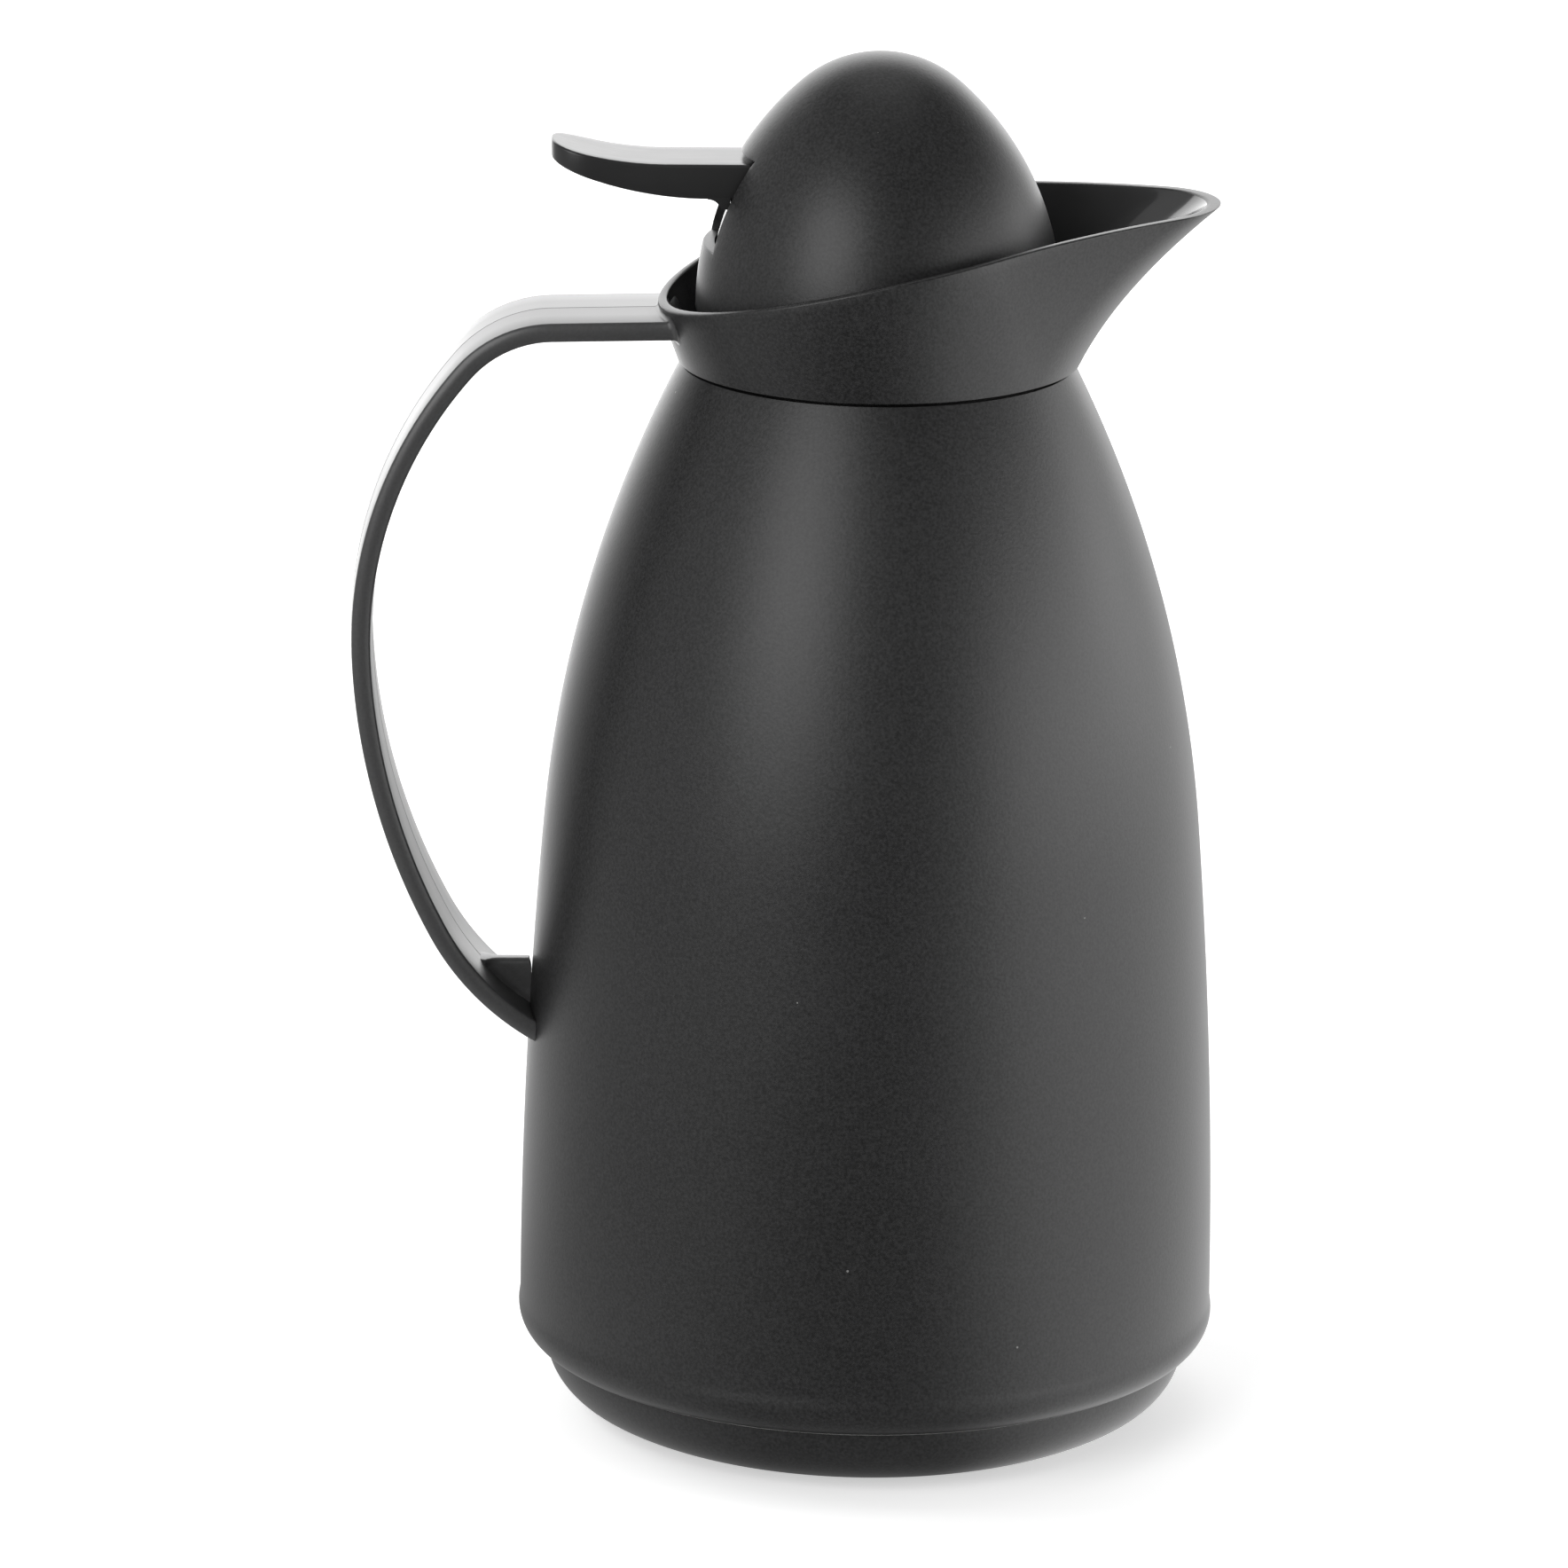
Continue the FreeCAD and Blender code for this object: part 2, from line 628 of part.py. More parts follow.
def make_stopper_plug():
    groove_top = seal_low_z + seal_h
    groove_r = seal_r - seal_t - fit_gap
    floor_top = plug_low_z + plug_floor_t
    plug = lathe((seat_r, plug_low_z), (plug_r, plug_low_z), (plug_r, seal_low_z), (groove_r, seal_low_z),
                 (groove_r, groove_top), (plug_r, groove_top), (plug_r, deck_low_z), (deck_r, deck_low_z),
                 (deck_r, deck_top_z), (stem_r + run_gap, deck_top_z), (stem_r + run_gap, guide_low_z),
                 (guide_r, guide_low_z), (guide_r, deck_low_z), (plug_bore_r, deck_low_z),
                 (plug_bore_r, floor_top), (seat_r, floor_top))
    window = box((plug_bore_r - window_h, -window_w / 2, window_low_z),
                 (plug_r + window_h, window_w / 2, window_low_z + window_h))
    plug = plug.cut(around(window_count, window))
    lug_z = thread_z - (thread_root + thread_crest) / 2 - thread_play
    lugs = [thread_lug(plug_r - sink, plug_crest_r, lug_z, 360 * n / thread_starts)
            for n in range(thread_starts)]
    ears = []
    for side in (-1, 1):
        inner_y = side * (lever_w / 2 + lever_side_gap)
        outer_y = inner_y + side * ear_t
        post = box((pivot_x - ear_r, min(inner_y, outer_y), deck_top_z - sink),
                   (pivot_x + ear_r, max(inner_y, outer_y), pivot_z))
        eye = Part.makeCylinder(ear_r, ear_t, V(pivot_x, min(inner_y, outer_y), pivot_z), V(0, 1, 0))
        ears.append(post.fuse(eye))
    pin_hole = Part.makeCylinder(pin_r + run_gap, 2 * deck_r, V(pivot_x, -deck_r, pivot_z), V(0, 1, 0))
    screw_hole_r = dome_screw_r + part_gap
    screw_holes = [rod(screw_hole_r, deck_low_z - overrun, deck_top_z + overrun, boss_x, side * boss_y)
                   for side in (-1, 1)]
    return plug.fuse(lugs + ears).cut([pin_hole] + screw_holes).removeSplitter()


def make_stopper_seal():
    low = seal_low_z + fit_gap
    high = seal_low_z + seal_h - fit_gap
    bore = seal_r - seal_t
    ease = seal_t / 4
    return lathe((bore, low), (seal_r - ease, low), (seal_r, low + ease), (seal_r, high - ease),
                 (seal_r - ease, high), (bore, high))


def dome_path():
    flank_x = dome_r - dome_flank_r
    belly_z = dome_low_z + dome_belly_h
    reach = dome_flank_r - dome_crown_r
    crown_z = belly_z + math.sqrt(reach ** 2 - flank_x ** 2)
    grow = dome_flank_r / reach
    join = (flank_x - flank_x * grow, belly_z + (crown_z - belly_z) * grow)
    return trace((dome_r, belly_z), math.pi / 2, [join, (0, crown_z + dome_crown_r)])


def dome_form(inset):
    """The dome's form moved inwards by inset, with a straight wall down to the lower edge."""
    inner = shifted(dome_path(), inset)
    low_z = dome_low_z - overrun
    return lathe((0, low_z), (inner[0][0].x, low_z), inner)


def make_stopper_dome():
    edge = trace((dome_r - dome_edge, dome_low_z), 0, [(dome_r, dome_low_z + dome_edge)])
    filled = lathe((0, dome_low_z), edge, dome_path())
    bosses = [rod(boss_r, deck_top_z, slot_top_z, boss_x, side * boss_y) for side in (-1, 1)]
    bosses = [boss.common(filled) for boss in bosses]
    slot = box((-2 * dome_r, -slot_w / 2, slot_low_z), (slot_in_x, slot_w / 2, slot_top_z))
    pilot_r = dome_screw_r + run_gap
    pilots = [rod(pilot_r, deck_top_z - overrun, deck_low_z + dome_screw_l, boss_x, side * boss_y)
              for side in (-1, 1)]
    return filled.cut(dome_form(dome_wall)).fuse(bosses).cut([slot] + pilots).removeSplitter()


def make_dome_screws():
    screws = []
    for side in (-1, 1):
        shank = rod(dome_screw_r, deck_low_z, deck_low_z + dome_screw_l, boss_x, side * boss_y)
        head = rod(dome_head_r, deck_low_z - dome_head_h, deck_low_z, boss_x, side * boss_y)
        screws.append(shank.fuse(head).removeSplitter())
    return Part.makeCompound(screws)


def make_lever_pin():
    half = lever_w / 2 + lever_side_gap + ear_t
    return Part.makeCylinder(pin_r, 2 * half, V(pivot_x, -half, pivot_z), V(0, 1, 0))


def make_thumb_lever():
    half = lever_w / 2
    end_x = lever_nose_x - overrun
    top_end = (end_x, lever_top_z + bulge(lever_top_sweep, lever_flat_x - end_x))
    under_end = (end_x, lever_under_z + bulge(lever_under_sweep, lever_root_x - end_x))
    top = trace((lever_flat_x, lever_top_z), math.pi, [top_end])
    under = back(trace((lever_root_x, lever_under_z), math.pi, [under_end]))
    bar = slab(outline((pivot_x, lever_top_z), top, under, (pivot_x, lever_under_z)), lever_w)
    nose_x = lever_nose_x + half
    high_z = top_end[1] + overrun
    plan = rod(half, 0, high_z, nose_x).fuse(box((nose_x, -half, 0), (pivot_x, half, high_z)))
    bar = bar.common(plan.removeSplitter())
    rounded = [edge for edge in bar.Edges if abs(edge.tangentAt(edge.FirstParameter).z) < 0.9
               and (abs(edge.CenterOfMass.y) > half - sink or edge.CenterOfMass.x < nose_x)]
    bar = bar.makeFillet(lever_round, rounded)
    curve_x = lever_root_x + skirt_curve_x
    curve_z = lever_under_z - skirt_curve_z
    curve = trace((lever_root_x, lever_under_z), 0, [(curve_x, curve_z)])
    root_x = curve_x + skirt_t
    root_z = lever_under_z + lever_round
    root = slab(outline((lever_root_x, root_z), curve, (root_x, curve_z), (root_x, root_z)), lever_w)
    skirt = box((-dome_r, -half, skirt_low_z), (lever_flat_x / 2, half, root_z))
    skirt = skirt.common(dome_form(dome_wall + skirt_gap)).cut(dome_form(dome_wall + skirt_gap + skirt_t))
    eye = Part.makeCylinder(ear_r, lever_w, V(pivot_x, -half, pivot_z), V(0, 1, 0))
    hole = Part.makeCylinder(pin_r + run_gap, 2 * lever_w, V(pivot_x, -lever_w, pivot_z), V(0, 1, 0))
    return bar.fuse([root, skirt, eye]).cut(hole).removeSplitter()


def make_valve_stem():
    return rod(stem_r, valve_top_z - valve_seal_t - valve_head_t, button_low_z + cap_socket)


def make_valve_head():
    low = valve_top_z - valve_seal_t - valve_head_t
    high = valve_top_z - valve_seal_t
    bore = stem_r + run_gap
    ease = valve_head_t / 2
    return lathe((bore, low), (valve_r - ease, low), (valve_r, low + ease), (valve_r, high),
                 (valve_hub_r, high), (valve_hub_r, high + valve_hub_h), (bore, high + valve_hub_h))


def make_valve_seal():
    return tube(valve_hub_r + run_gap, valve_r, valve_top_z - valve_seal_t, valve_top_z)


def make_stem_cap():
    shoulder = button_top_z - cap_button_bulge
    crown = trace((cap_button_r, shoulder), math.pi - 2 * math.atan2(cap_button_bulge, cap_button_r),
                  [(0, button_top_z)])
    button = lathe((0, button_low_z), (cap_button_r, button_low_z), crown)
    return button.cut(rod(stem_r + run_gap, button_low_z - overrun, button_low_z + cap_socket))


def biarc(start, start_way, end, end_way):
    """Two tangent arcs from start to end that leave and arrive along the given ways."""
    span = end - start
    ways = start_way + end_way
    slack = 2 * (1 - start_way.dot(end_way))
    along = span.dot(ways)
    reach = (-along + math.sqrt(along ** 2 + slack * span.dot(span))) / slack
    joint = (start + end + (start_way - end_way) * reach) / 2
    joint_way = (end - start - ways * reach).normalize()
    halves = ((start, start_way, joint, joint_way), (joint, joint_way, end, end_way))
    edges = []
    for one, one_way, two, two_way in halves:
        sag = one.distanceToPoint(two) / 2 * math.tan(one_way.getAngle(two_way) / 4)
        middle = (one + two) / 2 + (one_way - two_way).normalize() * sag
        edges.append(Part.Arc(one, middle, two).toShape())
    return edges


def make_valve_spring():
    low = deck_top_z + spring_wire_r + spring_gap
    high = button_low_z - spring_wire_r - spring_gap
    quarters = 4 * spring_turns
    pitch = (high - low) / spring_turns
    slope = pitch / (2 * math.pi)
    edges = []
    for quarter in range(quarters):
        spots = []
        for step in (quarter, quarter + 1):
            angle = step * math.pi / 2
            spot = V(spring_r * math.cos(angle), spring_r * math.sin(angle), low + slope * angle)
            way = V(-spring_r * math.sin(angle), spring_r * math.cos(angle), slope).normalize()
            spots.append((spot, way))
        edges += biarc(spots[0][0], spots[0][1], spots[1][0], spots[1][1])
    start = V(spring_r, 0, low)
    ring = Part.Wire(Part.Circle(start, V(0, spring_r, slope), spring_wire_r).toShape())
    line = Part.Wire(edges)
    half_turn = 24
    spots = line.discretize(Number=2 * half_turn * spring_turns)
    least = min(one.distanceToPoint(other) for number, one in enumerate(spots)
                for other in spots[number + half_turn:])
    print("valve spring: least gap to itself", round(least - 2 * spring_wire_r, 2), "mm")
    return line.makePipeShell([ring], True, False)


pieces = {
    "outer_shell": make_outer_shell,
    "base_cap": make_base_cap,
    "liner_outer": make_liner_outer,
    "liner_inner": make_liner_inner,
    "liner_pads": make_liner_pads,
    "support_cup": make_support_cup,
    "neck_gasket": make_neck_gasket,
    "neck_nut": make_neck_nut,
    "spout_collar": make_spout_collar,
    "handle_screw": make_handle_screw,
    "stopper_plug": make_stopper_plug,
    "stopper_seal": make_stopper_seal,
    "stopper_dome": make_stopper_dome,
    "dome_screws": make_dome_screws,
    "lever_pin": make_lever_pin,
    "thumb_lever": make_thumb_lever,
    "valve_stem": make_valve_stem,
    "valve_head": make_valve_head,
    "valve_seal": make_valve_seal,
    "stem_cap": make_stem_cap,
    "valve_spring": make_valve_spring,
}

os.makedirs("parts", exist_ok=True)
for name, make in pieces.items():
    shape = make()
    shape.exportStep("parts/" + name + ".step")
    print(name, "solids", len(shape.Solids), "valid", shape.isValid(), "volume", round(shape.Volume, 1))
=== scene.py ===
import json
import math

import bmesh
import bpy
from bpy.props import FloatProperty, FloatVectorProperty, IntProperty, PointerProperty
from bpy.types import Operator, Panel, PropertyGroup
from mathutils import Matrix, Vector


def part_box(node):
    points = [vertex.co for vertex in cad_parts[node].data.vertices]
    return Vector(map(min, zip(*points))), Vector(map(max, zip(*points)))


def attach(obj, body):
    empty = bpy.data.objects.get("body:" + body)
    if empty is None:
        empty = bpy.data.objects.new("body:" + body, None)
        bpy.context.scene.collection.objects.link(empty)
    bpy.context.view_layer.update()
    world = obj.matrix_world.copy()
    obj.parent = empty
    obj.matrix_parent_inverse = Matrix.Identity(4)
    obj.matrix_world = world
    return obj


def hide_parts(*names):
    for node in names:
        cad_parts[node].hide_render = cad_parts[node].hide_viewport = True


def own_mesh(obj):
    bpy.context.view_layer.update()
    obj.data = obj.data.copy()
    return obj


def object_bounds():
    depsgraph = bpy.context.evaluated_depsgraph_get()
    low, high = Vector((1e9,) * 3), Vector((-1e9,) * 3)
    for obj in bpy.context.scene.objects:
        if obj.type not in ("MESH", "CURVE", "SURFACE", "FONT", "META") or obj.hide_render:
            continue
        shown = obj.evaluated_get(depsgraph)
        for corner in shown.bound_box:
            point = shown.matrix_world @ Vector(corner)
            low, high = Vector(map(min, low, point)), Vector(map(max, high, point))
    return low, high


bl_info = {
    "name": "Vacuum jug",
    "version": (1, 0, 0),
    "blender": (4, 5, 0),
    "location": "View3D > Sidebar > Jug",
    "description": "Builds the visible pieces, finishes and stage of a vacuum jug around its frame",
    "category": "Object",
}

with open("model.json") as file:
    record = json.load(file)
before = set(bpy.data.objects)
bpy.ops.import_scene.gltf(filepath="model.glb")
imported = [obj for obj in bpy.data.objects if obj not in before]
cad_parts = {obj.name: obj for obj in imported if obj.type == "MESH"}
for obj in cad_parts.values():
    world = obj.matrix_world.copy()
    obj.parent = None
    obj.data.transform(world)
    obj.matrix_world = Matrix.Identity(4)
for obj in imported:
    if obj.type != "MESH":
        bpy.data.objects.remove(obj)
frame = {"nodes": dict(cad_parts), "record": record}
cad_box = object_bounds()
shell_low, shell_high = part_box("outer_shell")
cap_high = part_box("base_cap")[1]
dome_low, dome_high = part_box("stopper_dome")
lever_low, lever_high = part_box("thumb_lever")
pin_low, pin_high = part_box("lever_pin")

# Lengths are in metres, written as millimetres times MM
MM = 0.001
RIGHT_ANGLE = math.pi / 2
TINY = 1e-6

# Meshing: steps round an eased edge, and the angle from which an edge is shaded sharp
round_steps = 6
sharp_angle = math.radians(38)

# Body shell
band_proud = 0.3 * MM
band_fade = 3.0 * MM
band_steps = 8
roll_r = 6.4 * MM
shell_wall = 2.4 * MM
shell_r = shell_high.x - band_proud
roll_top_z = shell_low.z + roll_r
waist_r = 65.5 * MM
waist_z = 123.0 * MM
neck_r = 38.9 * MM
neck_z = shell_high.z
flange_t = 2.4 * MM
flange_bore_r = 31.3 * MM
sleeve_r = 60.9 * MM

# Base cap
cap_seam = 0.12 * MM
cap_wall = 2.6 * MM
cap_edge = 0.4 * MM
cap_knee = (58.9 * MM, 3.8 * MM)
foot_r = 45.0 * MM
foot_w = 7.0 * MM
recess_w = 2.0 * MM
recess_z = 3.0 * MM
skirt_r = 60.6 * MM

# Collar, spout and bowl
collar_r = 39.3 * MM
collar_flare = 4.3 * MM
collar_flare_h = 26.0 * MM
collar_back = 1.4 * MM
seam_relief = 0.8 * MM
seam_depth = 2.6 * MM
seam_tip_x = 39.6 * MM
seam_tip_r = 38.5 * MM
spout_lip_x = 67.1 * MM
spout_lip_r = 18.2 * MM
spout_lean = 0.468
rim_back = Vector((-43.6, 228.4)) * MM
rim_mid = Vector((0.0, 240.8)) * MM
rim_front = Vector((60.0, 248.5)) * MM
lip_thinning = 0.45
bowl_wall = 1.9 * MM
spout_wall = 2.5 * MM
bowl_floor_z = 221.0 * MM
funnel_z = 217.5 * MM
funnel_r = 36.0 * MM
spigot_r = 31.0 * MM
spigot_bore_r = 27.2 * MM
spigot_low_z = 199.5 * MM
land_r = 24.0 * MM
land_top_z = 204.0 * MM
lug_crest_r = 24.7 * MM
lug_z = 212.0 * MM
lug_root_h = 2.6 * MM
lug_crest_h = 1.8 * MM
lug_span = math.radians(70)
lug_count = 3
lug_sink = 0.4 * MM
lug_end_share = 0.15
lug_end_power = 8
thread_lead = 24.0 * MM
lug_steps = 14
collar_back_steps = 46
collar_side_steps = 26
collar_tip_steps = 72
collar_rows = 14
rim_tries = 30

# Handle
strap_w = 27.6 * MM
strap_t = 4.2 * MM
strap_edge = 0.7 * MM
strap_lean = math.radians(30)
strap_top = Vector((-36.0, 227.1)) * MM
strap_bend = Vector((-64.5, 226.5)) * MM
strap_heading = math.radians(181.2)
strap_turns = [Vector(place) * MM for place in ((-83.3, 217.6), (-103.9, 157.2), (-88.3, 100.6))]
strap_end = Vector((-63.2, 76.7)) * MM
strap_low_z = 79.0 * MM
strap_straight_steps = 10
strap_end_steps = 24
gap_top = 0.8 * MM
gap_low = 0.03 * MM
gap_taper = 2.6 * MM
web_t = 4.0 * MM
web_root = 1.6 * MM
web_slope = 0.7
web_round = 1.2 * MM
web_top_z = 93.0 * MM
web_corner_x = -76.8 * MM
web_curve = Vector((4.7, 2.9)) * MM
web_steps = 8
web_rows = 10

# Stopper dome
dome_r = dome_high.y
dome_flank_r = 59.5 * MM
dome_crown_r = 24.0 * MM
dome_edge = 1.5 * MM
dome_wall = 2.2 * MM
slot_half = 11.0 * MM
slot_low_z = 240.2 * MM
slot_top_z = 258.4 * MM
# Rows of the dome's mesh below the slot, beside it, over it and in the crown; the rows at the slot's floor
# and roof; cells across the slot and round the rest
below_rows = 10
slot_rows = 14
above_rows = 12
crown_rows = 22
slot_floor = below_rows
slot_roof = below_rows + slot_rows
slot_cells = 12
wall_cells = 150

# Thumb lever
lever_half = (lever_high.y - lever_low.y) / 2
lever_top_z = 257.3 * MM
lever_under_z = 250.4 * MM
nose_power = 0.72
lever_flat_x = -42.0 * MM
lever_top_sweep = 70.0 * MM
lever_root_x = -34.0 * MM
lever_under_sweep = 71.4 * MM
lever_top = (lever_top_z, lever_flat_x, lever_top_sweep)
lever_under = (lever_under_z, lever_root_x, lever_under_sweep)
lever_side_steps = 26
lever_nose_steps = 32
lever_edge_steps = 5
lever_columns = 8
skirt_gap = 0.4 * MM
skirt_inset = 0.02 * MM
skirt_t = 1.8 * MM
skirt_low_z = 241.2 * MM
skirt_curve = Vector((2.6, -2.0)) * MM
skirt_rows = 12
skirt_columns = 12
pivot = Vector(((pin_low.x + pin_high.x) / 2, (pin_low.z + pin_high.z) / 2))
pin_r = (pin_high.x - pin_low.x) / 2
eye_r = 4.6 * MM
eye_play = 0.05 * MM
eye_facets = 48

# Return spring of the valve
spring_wire_r = 0.45 * MM
spring_turns = 6
spring_turn_steps = 36
spring_wire_facets = 12

# Camera, as it stands before the jug is turned on the floor, and that floor
camera_place = Vector((0.0, -1860.6, 652.4)) * MM
camera_pitch = 0.274215
camera_yaw = -0.009438
camera_roll = 0.0113656
camera_film = 36.0
camera_far = 50.0
jug_turn = math.radians(2)
floor_drop = 0.1 * MM

# Dust and grit on the mouldings
dust_cover = 0.6
dust_share = 0.9
dust_colour = (0.32, 0.32, 0.31)
gloss_dust_colour = (0.3, 0.3, 0.29)
grit_contrast = 3.0
grit_lift = 0.35
grit_spread = 0.6


class JugForm(PropertyGroup):
    """Sizes of the jug's eased edges and mould marks, and how finely its pieces are meshed."""

    facets: IntProperty(name="Facets", description="Faces round the body", default=192, min=24)
    step: FloatProperty(name="Step", description="Spacing of points along a curve", default=2 * MM,
                        unit="LENGTH", precision=5)
    rim_round: FloatProperty(name="Rim rounding", description="Easing of the pouring rim's two edges",
                             default=0.9 * MM, unit="LENGTH", precision=5)
    slot_round: FloatProperty(name="Slot rounding", description="Easing of the edges of the dome's slot",
                              default=0.3 * MM, unit="LENGTH", precision=5)
    lever_round: FloatProperty(name="Lever rounding", description="Easing of the thumb lever's edges",
                               default=0.55 * MM, unit="LENGTH", precision=5)
    root_fillet: FloatProperty(name="Strap root", description="Fillet between the strap and the collar",
                               default=1.0 * MM, unit="LENGTH", precision=5)
    strap_draft: FloatProperty(name="Strap draft", description="How much thinner the strap is at its edges",
                               default=0.22 * MM, unit="LENGTH", precision=5)
    mould_line: FloatProperty(name="Mould line", description="Height of the parting line along the strap",
                              default=0.04 * MM, unit="LENGTH", precision=5)
    mould_width: FloatProperty(name="Mould line width", description="Half width of that parting line",
                               default=0.1 * MM, unit="LENGTH", precision=5)


class JugFinish(PropertyGroup):
    """Colours and surface of the jug's materials."""

    satin_colour: FloatVectorProperty(name="Satin black", description="Outside of the mouldings",
                                      default=(0.0125, 0.0125, 0.0128), subtype="COLOR", min=0, max=1)
    satin_roughness: FloatProperty(name="Satin roughness", description="Roughness of the grained outside",
                                   default=0.42, subtype="FACTOR", min=0, max=1)
    # The strap's black is painted about four times paler than the satin black of the same moulding, as
    # painted light on the handle
    handle_colour: FloatVectorProperty(name="Handle black", description="Strap handle, rubbed a little paler",
                                       default=(0.05, 0.05, 0.0505), subtype="COLOR", min=0, max=1)
    handle_roughness: FloatProperty(name="Handle roughness", description="Roughness of the handled strap",
                                    default=0.33, subtype="FACTOR", min=0, max=1)
    handle_grain: FloatProperty(name="Handle grain", description="Strap's grain, where the body's is 1",
                                default=0.15, subtype="FACTOR", min=0, max=1)
    grain_pitch: FloatProperty(name="Grain", description="Spacing of the fine moulded grain",
                               default=0.6 * MM, unit="LENGTH", precision=5)
    grain_height: FloatProperty(name="Grain height", description="Height of the fine moulded grain",
                                default=0.035 * MM, unit="LENGTH", precision=6)
    # Pale colour of the base seam's edge: rubbed wear and a painted highlight where light catches the edge
    worn_colour: FloatVectorProperty(name="Worn edge", description="Rubbed edge at the base seam",
                                     default=(0.5, 0.5, 0.49), subtype="COLOR", min=0, max=1)
    lever_colour: FloatVectorProperty(name="Lever black", description="Thumb lever",
                                      default=(0.014, 0.014, 0.0143), subtype="COLOR", min=0, max=1)
    lever_roughness: FloatProperty(name="Lever roughness", description="Roughness of the thumb lever",
                                   default=0.31, subtype="FACTOR", min=0, max=1)
    gloss_colour: FloatVectorProperty(name="Gloss black", description="Inside of the bowl and spout",
                                      default=(0.036, 0.036, 0.0365), subtype="COLOR", min=0, max=1)
    gloss_roughness: FloatProperty(name="Gloss roughness", description="Roughness of the polished black",
                                   default=0.11, subtype="FACTOR", min=0, max=1)
    inner_colour: FloatVectorProperty(name="Inner grey", description="Stopper plug and valve mouldings",
                                      default=(0.085, 0.085, 0.09), subtype="COLOR", min=0, max=1)
    silver_colour: FloatVectorProperty(name="Silvering", description="Mirror coat of the glass liner",
                                       default=(0.86, 0.86, 0.84), subtype="COLOR", min=0, max=1)
    felt_colour: FloatVectorProperty(name="Felt", description="Spacer pads", default=(0.52, 0.49, 0.44),
                                     subtype="COLOR", min=0, max=1)
    rubber_colour: FloatVectorProperty(name="Rubber", description="Seals and support cup",
                                       default=(0.05, 0.05, 0.05), subtype="COLOR", min=0, max=1)
    steel_colour: FloatVectorProperty(name="Steel", description="Screws, pin, rod and spring",
                                      default=(0.56, 0.57, 0.58), subtype="COLOR", min=0, max=1)


class JugStage(PropertyGroup):
    """Camera, floor and the room's light."""

    lens: FloatProperty(name="Lens", description="Focal length for a 36 mm wide picture", default=221.73,
                        unit="CAMERA")
    floor_size: FloatProperty(name="Floor", description="Width of the floor", default=8.0, unit="LENGTH")
    floor_colour: FloatVectorProperty(name="Floor colour", description="Colour of the floor",
                                      default=(0.8, 0.8, 0.8), subtype="COLOR", min=0, max=1)
    floor_lift: FloatProperty(name="Floor lift", description="Light the floor shows to the camera by itself",
                              default=0.5, subtype="FACTOR", min=0, max=1)
    room_light: FloatProperty(name="Room light", description="Even light from all round", default=0.35,
                              subtype="FACTOR", min=0, max=1)
    far_light: FloatProperty(name="Far floor", description="Brightness of the floor far behind the handle",
                             default=2.4, min=0)
    close_light: FloatProperty(name="Close floor", description="Brightness of the floor just behind the jug",
                               default=0.6, min=0)
    front_dark: FloatProperty(name="Front", description="Brightness of the room behind the camera",
                              default=0.15, subtype="FACTOR", min=0, max=1)
    side_light: FloatProperty(name="Spout side", description="Brightness of the room on the spout's side",
                              default=1.4, min=0)


def spread(start, end, steps):
    """Evenly spaced values from start to end."""
    return [start + (end - start) * number / steps for number in range(steps + 1)]


def places(*spots):
    """Some places in a plane, as vectors."""
    return [Vector(spot) for spot in spots]


def polar(radius, angle, z):
    """A point at a radius and an angle round the upright axis."""
    return Vector((radius * math.cos(angle), radius * math.sin(angle), z))


def tangent_arcs(start, heading, ends, step):
    """Stations along arcs that run smoothly from start through ends: places in a plane and headings."""
    stations = [(Vector(start), heading)]
    for end in ends:
        place, angle = stations[-1]
        chord = Vector(end) - place
        turn = math.remainder(math.atan2(chord.y, chord.x) - angle, math.tau)
        curved = abs(turn) > TINY
        length = chord.length * (turn / math.sin(turn) if curved else 1)
        count = max(1, math.ceil(length / step))
        for share in spread(0, 1, count)[1:]:
            reach = chord.length * (math.sin(turn * share) / math.sin(turn) if curved else share)
            way = angle + turn * share
            spot = place + Vector((math.cos(way), math.sin(way))) * reach
            stations.append((spot, angle + 2 * turn * share))
    return stations


def beside(stations, inset=0.0):
    """The places of some stations, moved to the left of their heading by inset."""
    return [place + Vector((-math.sin(angle), math.cos(angle))) * inset for place, angle in stations]


def eased_corner(before, corner, after, reach, steps=4):
    """A soft curve that rounds a corner, starting and ending at most reach away from it."""
    near = corner + (before - corner).normalized() * min(reach, (before - corner).length / 2)
    far = corner + (after - corner).normalized() * min(reach, (after - corner).length / 2)
    return [near * (1 - s) ** 2 + corner * (2 * s * (1 - s)) + far * s ** 2 for s in spread(0, 1, steps)]


def eased(corners, reach):
    """A line through corners with each corner between its ends rounded."""
    line = [corners[0]]
    for before, corner, after in zip(corners, corners[1:], corners[2:]):
        line += eased_corner(before, corner, after, reach)
    return line + [corners[-1]]


def flank_r(z):
    """Radius of the body's outside at a height below the waist."""
    rise = waist_z - roll_top_z
    drop = shell_r - waist_r
    bend_r = (rise ** 2 + drop ** 2) / (2 * drop)
    return shell_r - bend_r + math.sqrt(bend_r ** 2 - (z - roll_top_z) ** 2)


def turned(bm, profile, facets, wear_and_highlight_bands=()):
    """Adds a closed profile of radii and heights, turned round the axis; wear_and_highlight_bands numbers the
    bands of the seam's pale edge, worn and painted as a highlight.
    """
    rings = []
    for place in profile:
        if place.x < TINY:
            rings.append([bm.verts.new((0, 0, place.y))] * facets)
            continue
        angles = spread(0, math.tau, facets)[:-1]
        rings.append([bm.verts.new(polar(place.x, angle, place.y)) for angle in angles])
    for number, ring in enumerate(rings):
        add_bands(bm, [rings[number - 1], ring], 1 if number in wear_and_highlight_bands else 0)


def add_face(bm, corners, material=0):
    """Adds a face without repeated corners, or none if fewer than three are left."""
    corners = list(dict.fromkeys(corners))
    if len(corners) > 2:
        bm.faces.new(corners).material_index = material


